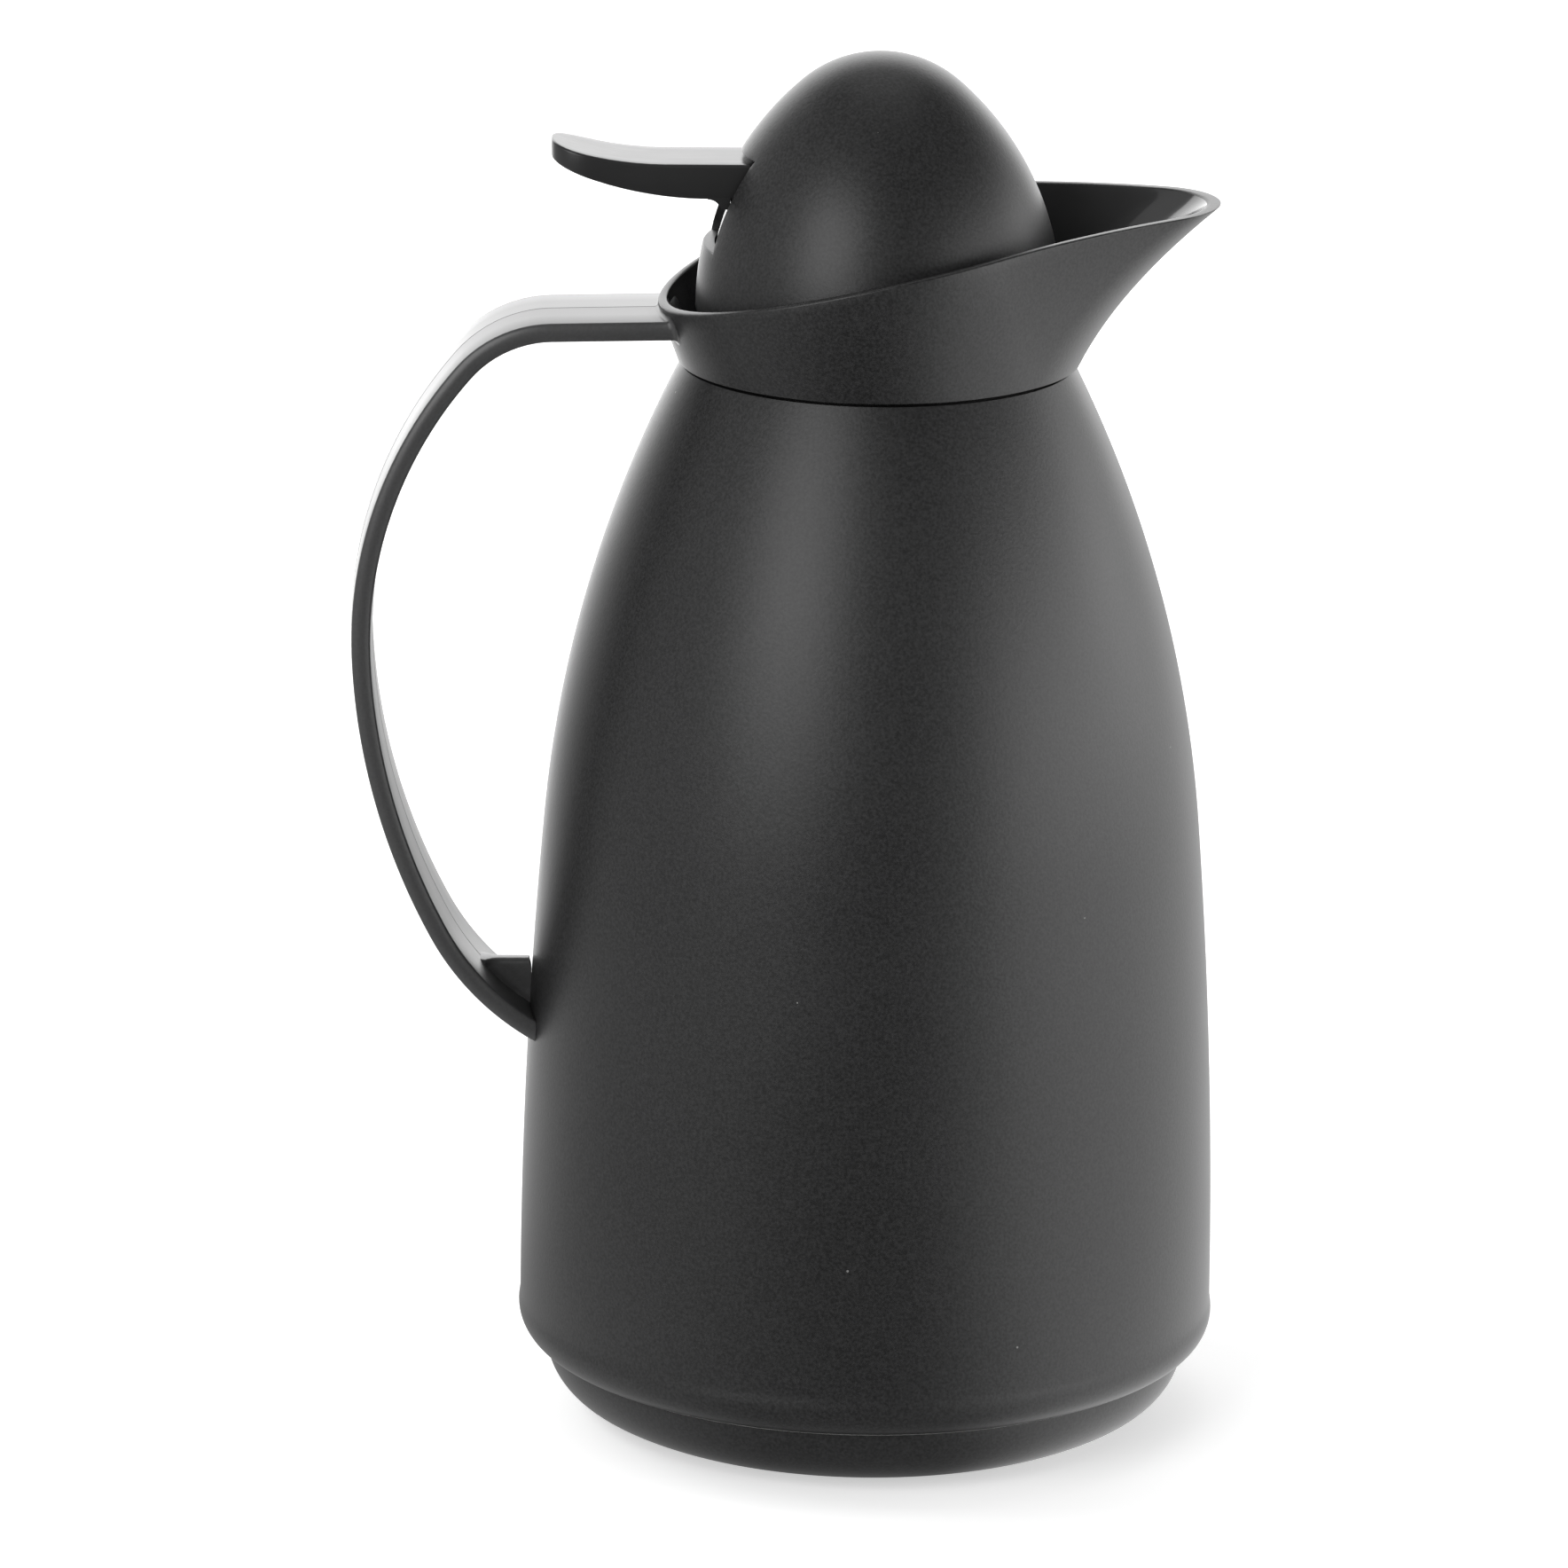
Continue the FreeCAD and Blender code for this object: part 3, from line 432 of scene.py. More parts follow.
def add_bands(bm, rings, material=0):
    """Joins each ring of points to the next one."""
    for ring, after in zip(rings, rings[1:]):
        for number in range(len(ring)):
            add_face(bm, [ring[number - 1], ring[number], after[number], after[number - 1]], material)


def add_grid(bm, rows):
    """Joins each row of points to the next one, open at its two ends."""
    for row, after in zip(rows, rows[1:]):
        for number in range(len(row) - 1):
            add_face(bm, [row[number], row[number + 1], after[number + 1], after[number]])


def add_tube(bm, rings):
    """Joins rings of points in order, and closes both ends with a fan round the middle."""
    add_bands(bm, rings)
    for ring in (rings[0], rings[-1]):
        middle = bm.verts.new(sum((v.co for v in ring), Vector()) / len(ring))
        for number in range(len(ring)):
            bm.faces.new((ring[number - 1], ring[number], middle))


def new_piece(name, bm, makers, body, node):
    """Makes a piece of the jug from its mesh and finishes, in the place of a node of the frame."""
    bmesh.ops.recalc_face_normals(bm, faces=bm.faces)
    mesh = bpy.data.meshes.new(name)
    bm.to_mesh(mesh)
    bm.free()
    mesh.shade_smooth()
    mesh.set_sharp_from_angle(angle=sharp_angle)
    for make in makers:
        mesh.materials.append(material_of(make))
    piece = bpy.data.objects.new(name, mesh)
    bpy.context.scene.collection.objects.link(piece)
    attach(piece, body)
    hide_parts(node)
    return piece


class Tone:
    """A value in a finish's node tree. Python's operators on it add the Math nodes."""

    def __init__(self, finish, socket):
        self.finish = finish
        self.socket = socket

    def maths(self, operation, first, second):
        """The tone of a new Math node."""
        node = self.finish.node("ShaderNodeMath", {"operation": operation}, {0: first, 1: second})
        return Tone(self.finish, node.outputs[0])

    def __add__(self, other):
        return self.maths("ADD", self, other)

    def __sub__(self, other):
        return self.maths("SUBTRACT", self, other)

    def __rsub__(self, other):
        return self.maths("SUBTRACT", other, self)

    def __mul__(self, other):
        return self.maths("MULTIPLY", self, other)

    def __gt__(self, other):
        return self.maths("GREATER_THAN", self, other)

    def __lt__(self, other):
        return self.maths("LESS_THAN", self, other)

    def clipped(self):
        """The value kept between 0 and 1."""
        return self.maths("MINIMUM", self.maths("MAXIMUM", self, 0.0), 1.0)

    __radd__ = __add__
    __rmul__ = __mul__


class Finish:
    """A material, or the room's light, and the nodes that it is made of."""

    def __init__(self, owner):
        owner.use_nodes = True
        self.owner = owner
        self.tree = owner.node_tree
        self.shader = self.tree.nodes.get("Principled BSDF")

    def node(self, kind, settings=None, sockets=None):
        """Adds a node: its settings first, then the values or links of its sockets."""
        node = self.tree.nodes.new(kind)
        for name, value in (settings or {}).items():
            setattr(node, name, value)
        for name, value in (sockets or {}).items():
            self.feed(node.inputs[name], value)
        return node

    def feed(self, socket, value):
        """Links a socket or a tone to an input, or sets the input's own value."""
        if isinstance(value, Tone):
            self.tree.links.new(value.socket, socket)
        elif isinstance(value, bpy.types.NodeSocket):
            self.tree.links.new(value, socket)
        else:
            socket.default_value = value

    def tone(self, kind, output, settings=None, sockets=None):
        """The value that a new node gives."""
        return Tone(self, self.node(kind, settings, sockets).outputs[output])

    def place(self):
        """Places in the jug's own frame, in metres."""
        return self.node("ShaderNodeTexCoord").outputs["Object"]

    def parts(self, vector):
        """The X, Y and Z of a vector."""
        return self.node("ShaderNodeSeparateXYZ", {}, {"Vector": vector}).outputs

    def rays(self):
        """Two tones: 1 for what the camera sees itself, and 1 for what it sees mirrored or through glass."""
        path = self.node("ShaderNodeLightPath").outputs
        mirrored = Tone(self, path["Is Glossy Ray"]) + Tone(self, path["Is Transmission Ray"])
        return Tone(self, path["Is Camera Ray"]), mirrored.clipped()

    def glow(self, brightness):
        """White light of some brightness."""
        return self.node("ShaderNodeEmission", {}, {"Color": brightness}).outputs[0]

    def noise(self, pitch, detail, stretch=(1, 1, 1)):
        """Cloudy values from 0 to 1 whose patches are about pitch apart."""
        scaled = self.node("ShaderNodeVectorMath", {"operation": "MULTIPLY"}, {0: self.place(), 1: stretch})
        return self.tone("ShaderNodeTexNoise", "Fac", {},
                         {"Vector": scaled.outputs[0], "Scale": 1 / pitch, "Detail": detail})

    def specks(self, pitch, size):
        """Round specks in some of the cells of a pattern: 1 inside a speck, 0 outside."""
        cells = self.node("ShaderNodeTexVoronoi", {}, {"Vector": self.place(), "Scale": 1 / pitch})
        chosen = self.tone("ShaderNodeSeparateColor", "Red", {}, {"Color": cells.outputs["Color"]})
        near = Tone(self, cells.outputs["Distance"]) < size / pitch
        return near * (chosen > 1 - dust_share)

    def blend(self, share, first, second):
        """A colour that goes from first to second as share goes from 0 to 1."""
        colours = {"Factor": share, 6: first, 7: second}
        return self.node("ShaderNodeMix", {"data_type": "RGBA"}, colours).outputs[2]

    def shaded(self, share, colour, low, high):
        """A colour that goes from low to high times itself as share goes from 0 to 1."""
        return self.blend(share, opaque(colour, low), opaque(colour, high))

    def raised(self, height, size, strength):
        """A normal for a height map whose full height is size."""
        bump = self.node("ShaderNodeBump", {}, {"Height": height, "Distance": size, "Strength": strength})
        return bump.outputs["Normal"]

    def ramp(self, value, dark, bright, most=1.0):
        """Rises smoothly from 0 where a value is dark to most where it is bright."""
        return self.tone("ShaderNodeMapRange", "Result", {"interpolation_type": "SMOOTHSTEP"},
                         {"Value": value, "From Min": dark, "From Max": bright, "To Max": most})

    def finish(self, **sockets):
        """Sets the shader's sockets, named with _ for a space."""
        for name, value in sockets.items():
            self.feed(self.shader.inputs[name.replace("_", " ")], value)
        return self.owner


def opaque(colour, scale=1.0):
    """A colour made brighter or darker, with full alpha."""
    return tuple(min(1.0, part * scale) for part in colour) + (1.0,)


def new_finish(name):
    """A finish for a new material."""
    return Finish(bpy.data.materials.new(name))


def grained(name, colour, roughness, depth, look):
    """Grained moulding: grain of some depth from 0 to 1, soft handling marks and a few specks of dust."""
    finish = new_finish(name)
    grain = finish.noise(look.grain_pitch, detail=3)
    marks = finish.noise(26 * MM, detail=4)
    dust = finish.specks(pitch=15 * MM, size=0.28 * MM)
    grit = ((grain - 0.5) * grit_contrast + grit_lift + marks * 0.3).clipped()
    shade = finish.shaded(grit, colour, low=1 - grit_spread * depth, high=1 + grit_spread * depth)
    return finish.finish(Base_Color=finish.blend(dust * dust_cover, shade, opaque(dust_colour)),
                         Roughness=roughness - 0.04 + marks * 0.05 + grain * 0.04,
                         Normal=finish.raised(grain, look.grain_height * depth, strength=0.8))


def satin_black(look):
    """The body, collar, base and dome."""
    return grained("satin_black", look.satin_colour, look.satin_roughness, 1.0, look)


def handle_painted_light_black(look):
    """The strap handle: smoother than the body, and painted paler than the same moulding's satin black, as
    painted light.
    """
    return grained("handle_painted_light_black", look.handle_colour, look.handle_roughness, look.handle_grain, look)


def seam_wear_and_highlight_black(look):
    """The base seam's edge: a pale colour for rubbed wear and a painted highlight, paler in uneven patches.
    """
    finish = new_finish("seam_wear_and_highlight_black")
    wear_and_highlight_patches = finish.noise(9 * MM, detail=4)
    grain = finish.noise(look.grain_pitch, detail=3)
    # Pale colour for rubbed wear and a painted highlight along the seam's edge
    return finish.finish(Base_Color=finish.shaded(wear_and_highlight_patches, look.worn_colour, low=0.6, high=1.4),
                         Roughness=0.4 + wear_and_highlight_patches * 0.15,
                         Normal=finish.raised(grain, look.grain_height, strength=0.5))


def lever_black(look):
    """Semi-gloss lever: fine polishing lines along it and a little dust."""
    finish = new_finish("lever_black")
    lines = finish.noise(0.7 * MM, detail=3, stretch=(0.05, 1, 1))
    wiped = finish.noise(12 * MM, detail=4)
    dust = finish.specks(pitch=9 * MM, size=0.22 * MM)
    shade = finish.shaded(wiped, look.lever_colour, low=0.9, high=1.15)
    return finish.finish(Base_Color=finish.blend(dust * dust_cover, shade, opaque(dust_colour)),
                         Roughness=look.lever_roughness - 0.02 + lines * 0.06 + wiped * 0.04,
                         Normal=finish.raised(lines, 0.006 * MM, strength=0.5))


def gloss_black(look):
    """Polished moulding: faint flow ripples, wipe marks and a little dust."""
    finish = new_finish("gloss_black")
    ripple = finish.noise(9 * MM, detail=2)
    wiped = finish.noise(14 * MM, detail=5, stretch=(1, 1, 0.3))
    dust = finish.specks(pitch=11 * MM, size=0.2 * MM)
    shade = finish.shaded(ripple, look.gloss_colour, low=0.9, high=1.15)
    return finish.finish(Base_Color=finish.blend(dust * dust_cover, shade, opaque(gloss_dust_colour)),
                         Roughness=look.gloss_roughness - 0.04 + wiped * 0.09 + dust * 0.3,
                         Normal=finish.raised(ripple, 0.05 * MM, strength=0.25))


def inner_grey(look):
    """Plain dark grey moulding with flow marks."""
    finish = new_finish("inner_grey")
    flow = finish.noise(7 * MM, detail=4, stretch=(1, 1, 0.4))
    grain = finish.noise(0.5 * MM, detail=2)
    return finish.finish(Base_Color=finish.shaded(flow, look.inner_colour, low=0.85, high=1.15),
                         Roughness=0.36 + flow * 0.14,
                         Normal=finish.raised(grain, 0.01 * MM, strength=0.5))


def silvered_glass(look):
    """Silvered glass: a mirror with the slow waves of blown glass and thin spots in the coat."""
    finish = new_finish("silvered_glass")
    wave = finish.noise(22 * MM, detail=2)
    thin = finish.noise(5 * MM, detail=6)
    return finish.finish(Base_Color=finish.shaded((thin - 0.5) * 2, look.silver_colour, low=1.0, high=0.8),
                         Metallic=1.0, Roughness=0.03 + thin * 0.07,
                         Normal=finish.raised(wave, 0.4 * MM, strength=0.4))


def pressed_felt(look):
    """Pressed felt: short tangled fibres."""
    finish = new_finish("pressed_felt")
    fibre = finish.noise(0.4 * MM, detail=8, stretch=(1, 1, 2.5))
    tuft = finish.noise(2.2 * MM, detail=3)
    return finish.finish(Base_Color=finish.shaded(fibre, look.felt_colour, low=0.7, high=1.25),
                         Roughness=0.9 + tuft * 0.08,
                         Normal=finish.raised(fibre + tuft, 0.15 * MM, strength=0.7))


def soft_rubber(look):
    """Soft rubber: even and matt with a slight bloom."""
    finish = new_finish("soft_rubber")
    bloom = finish.noise(6 * MM, detail=5)
    skin = finish.noise(0.3 * MM, detail=2)
    return finish.finish(Base_Color=finish.shaded(bloom, look.rubber_colour, low=0.8, high=1.6),
                         Roughness=0.58 + bloom * 0.2,
                         Normal=finish.raised(skin, 0.008 * MM, strength=0.5))


def drawn_steel(look):
    """Drawn steel: fine lines along the axis and a few dull patches."""
    finish = new_finish("drawn_steel")
    lines = finish.noise(0.25 * MM, detail=3, stretch=(1, 1, 0.04))
    dull = finish.noise(4 * MM, detail=3)
    return finish.finish(Base_Color=finish.shaded(dull, look.steel_colour, low=0.85, high=1.1),
                         Metallic=1.0, Roughness=0.22 + lines * 0.12 + dull * 0.1,
                         Normal=finish.raised(lines, 0.006 * MM, strength=0.6))


def material_of(make):
    """The material that a finish's function makes, made only once."""
    return bpy.data.materials.get(make.__name__) or make(bpy.context.scene.jug_finish)


class JUG_OT_body_shell(Operator):
    """Adds the tapered outer shell with its rolled lower edge."""

    bl_idname = "jug.body_shell"
    bl_label = "Body shell"

    def execute(self, context):
        form = context.scene.jug_form
        flange_low_z = neck_z - flange_t
        roll = tangent_arcs((shell_high.x - roll_r, shell_low.z), 0, [(shell_high.x, roll_top_z)],
                            form.step / 4)
        flank = tangent_arcs((shell_r, roll_top_z + band_proud), RIGHT_ANGLE,
                             [(waist_r, waist_z), (neck_r, neck_z)], form.step)
        inside = [place for place in beside(flank, shell_wall) if place.y < flange_low_z]
        band = [Vector((shell_high.x - band_proud * (3 - 2 * s) * s ** 2, roll_top_z + band_fade * s))
                for s in spread(0, 1, band_steps)[1:-1]]
        profile = beside(roll) + band
        profile += [place for place in beside(flank) if place.y >= roll_top_z + band_fade]
        profile += places((flange_bore_r, neck_z), (flange_bore_r, flange_low_z),
                          (inside[-1].x, flange_low_z))
        profile += inside[::-1] + beside(roll, shell_wall)[::-1]
        profile += places((sleeve_r, shell_low.z + shell_wall), (sleeve_r, shell_low.z))
        bm = bmesh.new()
        turned(bm, profile, form.facets)
        new_piece("body_shell", bm, [satin_black], "jug", "outer_shell")
        return {"FINISHED"}


class JUG_OT_base(Operator):
    """Adds the rounded base cap with its foot ring."""

    bl_idname = "jug.base"
    bl_label = "Base cap"

    def execute(self, context):
        form = context.scene.jug_form
        top_z = shell_low.z - cap_seam
        side = tangent_arcs((foot_r, 0), 0, [cap_knee, (cap_high.x, top_z - cap_edge)], form.step / 2)
        skirt_bore_r = skirt_r - cap_wall
        inside = [place for place in beside(side, cap_wall) if place.x < skirt_bore_r]
        foot_in_r = foot_r - foot_w
        recess_r = foot_in_r - recess_w
        floor_z = recess_z + cap_wall
        under = eased(places((0, recess_z), (recess_r, recess_z), (foot_in_r, 0), (foot_r, 0)), recess_w / 2)
        top = eased_corner(side[-1][0], Vector((cap_high.x, top_z)), Vector((skirt_r, top_z)), cap_edge)
        profile = under + beside(side)[1:] + top[1:]
        # Bands of the pale edge, worn and painted as a highlight: the eased edge after its first step, and
        # the flat top inside it
        wear_and_highlight_bands = range(len(profile) - len(top) + 2, len(profile) + 1)
        profile += places((skirt_r, top_z), (skirt_r, cap_high.z), (skirt_bore_r, cap_high.z),
                          (skirt_bore_r, inside[-1].y))
        profile += inside[::-1]
        profile += places((foot_in_r + cap_wall, cap_wall), (recess_r + cap_wall, floor_z), (0, floor_z))
        bm = bmesh.new()
        turned(bm, profile, form.facets, wear_and_highlight_bands)
        new_piece("base_foot", bm, [satin_black, seam_wear_and_highlight_black], "jug", "base_cap")
        return {"FINISHED"}


def collar_sizes(z):
    """Centre and radius of the collar's round back, reach and radius of its front, at a height."""
    rise = rim_front.y - neck_z
    h = z - neck_z
    curve = (spout_lip_x - seam_tip_x - spout_lean * rise) / rise ** 2
    back_x = -collar_back * min(h / (rim_back.y - neck_z), 1)
    back_r = collar_r + collar_flare * math.sin(min(h / collar_flare_h, 1) * RIGHT_ANGLE)
    tip_x = seam_tip_x + spout_lean * h + curve * h ** 2
    tip_r = seam_tip_r + (spout_lip_r - seam_tip_r) * h / rise
    return back_x, back_r, tip_x, tip_r


def collar_stations():
    """Places round the collar's plan: its part, the side of the spout's plane, and a share along the part."""
    right = [("back", -1, share) for share in spread(0, 1, collar_back_steps)[:-1]]
    right += [("side", -1, share) for share in spread(0, 1, collar_side_steps)[:-1]]
    tip = [("tip", 1, share) for share in spread(-1, 1, collar_tip_steps)]
    left = [(part, 1, share) for part, side, share in reversed(right)]
    return right + tip + left[:-1]


def collar_point(station, z, side_inset=0.0, front_inset=0.0):
    """A point of the collar's wall at a height, moved inwards by the insets."""
    part, side, share = station
    back_x, back_r, tip_x, tip_r = collar_sizes(z)
    back_r -= side_inset
    tip_r -= side_inset
    tip_mid_x = tip_x - front_inset - tip_r
    meet = math.acos((back_r - tip_r) / (tip_mid_x - back_x))
    if part == "back":
        angle = side * (math.pi + (meet - math.pi) * share)
        return Vector((back_x + back_r * math.cos(angle), back_r * math.sin(angle), z))
    if part == "tip":
        angle = meet * share
        return Vector((tip_mid_x + tip_r * math.cos(angle), tip_r * math.sin(angle), z))
    start = Vector((back_x + back_r * math.cos(meet), side * back_r * math.sin(meet), z))
    end = Vector((tip_mid_x + tip_r * math.cos(meet), side * tip_r * math.sin(meet), z))
    return start.lerp(end, share)


def circle_through(one, two, three):
    """Centre and radius of the circle through three places."""
    along = two - one
    across = three - one
    twice = 2 * along.cross(across)
    centre = one + Vector((across.y * along.length_squared - along.y * across.length_squared,
                           along.x * across.length_squared - across.x * along.length_squared)) / twice
    return centre, (one - centre).length


def rim_point(station, side_inset=0.0, front_inset=0.0):
    """Where the collar's wall meets the sweep of the rim."""
    centre, radius = circle_through(rim_back, rim_mid, rim_front)
    spot = collar_point(station, rim_mid.y, side_inset, front_inset)
    for _ in range(rim_tries):
        z = centre.y + math.sqrt(radius ** 2 - (spot.x - centre.x) ** 2)
        spot = collar_point(station, z, side_inset, front_inset)
    return spot


def collar_section(station, form):
    """Points of the collar's wall at one station: outside, rim and inside as three runs."""
    outer_top = rim_point(station)
    inner_top = rim_point(station, bowl_wall, spout_wall)
    outer_below = collar_point(station, outer_top.z - MM)
    inner_below = collar_point(station, inner_top.z - MM, bowl_wall, spout_wall)
    reach = form.rim_round * (1 - lip_thinning * min(max(outer_top.x / spout_lip_x, 0), 1))
    rim = eased_corner(outer_below, outer_top, inner_top, reach)
    rim += eased_corner(outer_top, inner_top, inner_below, reach)
    outside = [collar_point(station, z) for z in spread(neck_z + seam_relief, rim[0].z, collar_rows)[:-1]]
    inside = [collar_point(station, z, bowl_wall, spout_wall)
              for z in spread(rim[-1].z, bowl_floor_z, collar_rows)[1:]]
    return outside, rim, inside


def add_thread_lugs(bm, root_r, material):
    """Helical lugs that hold the stopper, standing inwards from the collar's bore."""
    for number in range(lug_count):
        rings = []
        for share in spread(-1, 1, lug_steps):
            turn = lug_span * share / 2
            angle = math.tau * number / lug_count + turn
            level = lug_z + thread_lead * turn / math.tau
            fade = math.sqrt(max(0.0, 1 - abs(share) ** lug_end_power))
            crest_r = root_r + (lug_crest_r - root_r) * (lug_end_share + (1 - lug_end_share) * fade)
            corners = ((root_r, -lug_root_h), (crest_r, -lug_crest_h), (crest_r, lug_crest_h),
                       (root_r, lug_root_h))
            rings.append([bm.verts.new(polar(radius, angle, level + high / 2)) for radius, high in corners])
        add_bands(bm, rings, material)
        for ring in (rings[0], rings[-1]):
            add_face(bm, ring, material)


class JUG_OT_spout_collar(Operator):
    """Adds the collar with its pouring spout, bowl and threaded bore."""

    bl_idname = "jug.spout_collar"
    bl_label = "Collar and spout"

    def execute(self, context):
        form = context.scene.jug_form
        bm = bmesh.new()
        sections = [collar_section(station, form) for station in collar_stations()]
        angles = [math.atan2(inside[-1].y, inside[-1].x) for outside, rim, inside in sections]

        def level_rings(*levels):
            return [[bm.verts.new(polar(radius, angle, z)) for angle in angles] for radius, z in levels]

        def wall_rings(lines):
            return [[bm.verts.new(spot) for spot in ring] for ring in zip(*lines)]

        outside, rim, inside = [wall_rings(lines) for lines in zip(*sections)]
        relief_r = collar_r - seam_depth
        below = level_rings((spigot_r, spigot_low_z), (spigot_r, neck_z), (relief_r, neck_z),
                            (relief_r, neck_z + seam_relief))
        bore = level_rings((funnel_r, bowl_floor_z), (spigot_bore_r, funnel_z), (spigot_bore_r, land_top_z),
                           (land_r, land_top_z), (land_r, spigot_low_z))
        add_bands(bm, below + outside + rim, 0)
        add_bands(bm, rim[-1:] + inside + bore + below[:1], 1)
        add_thread_lugs(bm, spigot_bore_r + lug_sink, 1)
        new_piece("collar_spout", bm, [satin_black, gloss_black], "jug",
                  "spout_collar")
        return {"FINISHED"}


def strap_section(form):
    """The strap's outline across: places across and through it, with the way each one faces."""
    half = strap_w / 2
    draft = form.strap_draft
    corner = strap_edge * (1 - math.sin(strap_lean))
    crown = (strap_t / 2 - draft - corner) / math.sin(strap_lean)
    flat = half - strap_edge * math.cos(strap_lean) - crown * (1 - math.cos(strap_lean))
    across = [0, form.mould_width, 3 * form.mould_width, flat / 2, flat]
    across = [-y for y in reversed(across[1:])] + across
    outline = [(y, draft * abs(y) / half - (0 if y else form.mould_line), 0, -1) for y in across]
    # Two tight corners with a crowned side between them, each an arc: centre, radius, first and last facing
    for mid_y, mid_depth, radius, first, last in (
            (flat, draft + strap_edge, strap_edge, RIGHT_ANGLE, strap_lean),
            (half - crown, strap_t / 2, crown, strap_lean, -strap_lean),
            (flat, strap_t - draft - strap_edge, strap_edge, -strap_lean, -RIGHT_ANGLE)):
        for facing in spread(first, last, round_steps)[1:]:
            out_y, out_depth = math.cos(facing), -math.sin(facing)
            outline.append((mid_y + radius * out_y, mid_depth + radius * out_depth, out_y, out_depth))
    outline.pop()
    return outline + [(-y, strap_t - depth, -out_y, -out_depth) for y, depth, out_y, out_depth in outline]


def strap_stations(form):
    """Stations down the strap: those of its bends, and those of the last arc to the body."""
    bends = tangent_arcs(strap_bend, strap_heading, strap_turns, form.step)
    last = tangent_arcs(*bends[-1], [strap_end], form.step / 8)
    return bends, last


def collar_back_x(y, z):
    """Where the collar's back lies at a place across it and a height."""
    back_x, back_r, tip_x, tip_r = collar_sizes(z)
    return back_x - math.sqrt(back_r ** 2 - y ** 2)


def shell_gap(z):
    """The hairline gap between handle and body: open at the top of the web, closing below it."""
    return gap_low + gap_top * min(max(1 - (web_top_z - z) / gap_taper, 0), 1)


def outside_shell(place, y):
    """How far a place of the handle stands off the hairline gap along the body."""
    if place.y < strap_low_z:
        return place.y - strap_low_z
    return math.hypot(place.x, y) - flank_r(place.y) - shell_gap(place.y)


def share_at_shell(stations, y, depth):
    """Share of the strap's last arc at which a line of the strap reaches the body."""
    line = beside(stations, depth)
    for number, (one, two) in enumerate(zip(line, line[1:])):
        before = outside_shell(one, y)
        after = outside_shell(two, y)
        if after <= 0:
            return (number + before / (before - after)) / (len(line) - 1)
    return 1.0


def place_at(stations, share, depth):
    """A place along some stations, at a share of their length and a depth beside them."""
    line = beside(stations, depth)
    at = share * (len(line) - 1)
    number = min(int(at), len(line) - 2)
    return line[number].lerp(line[number + 1], at - number)


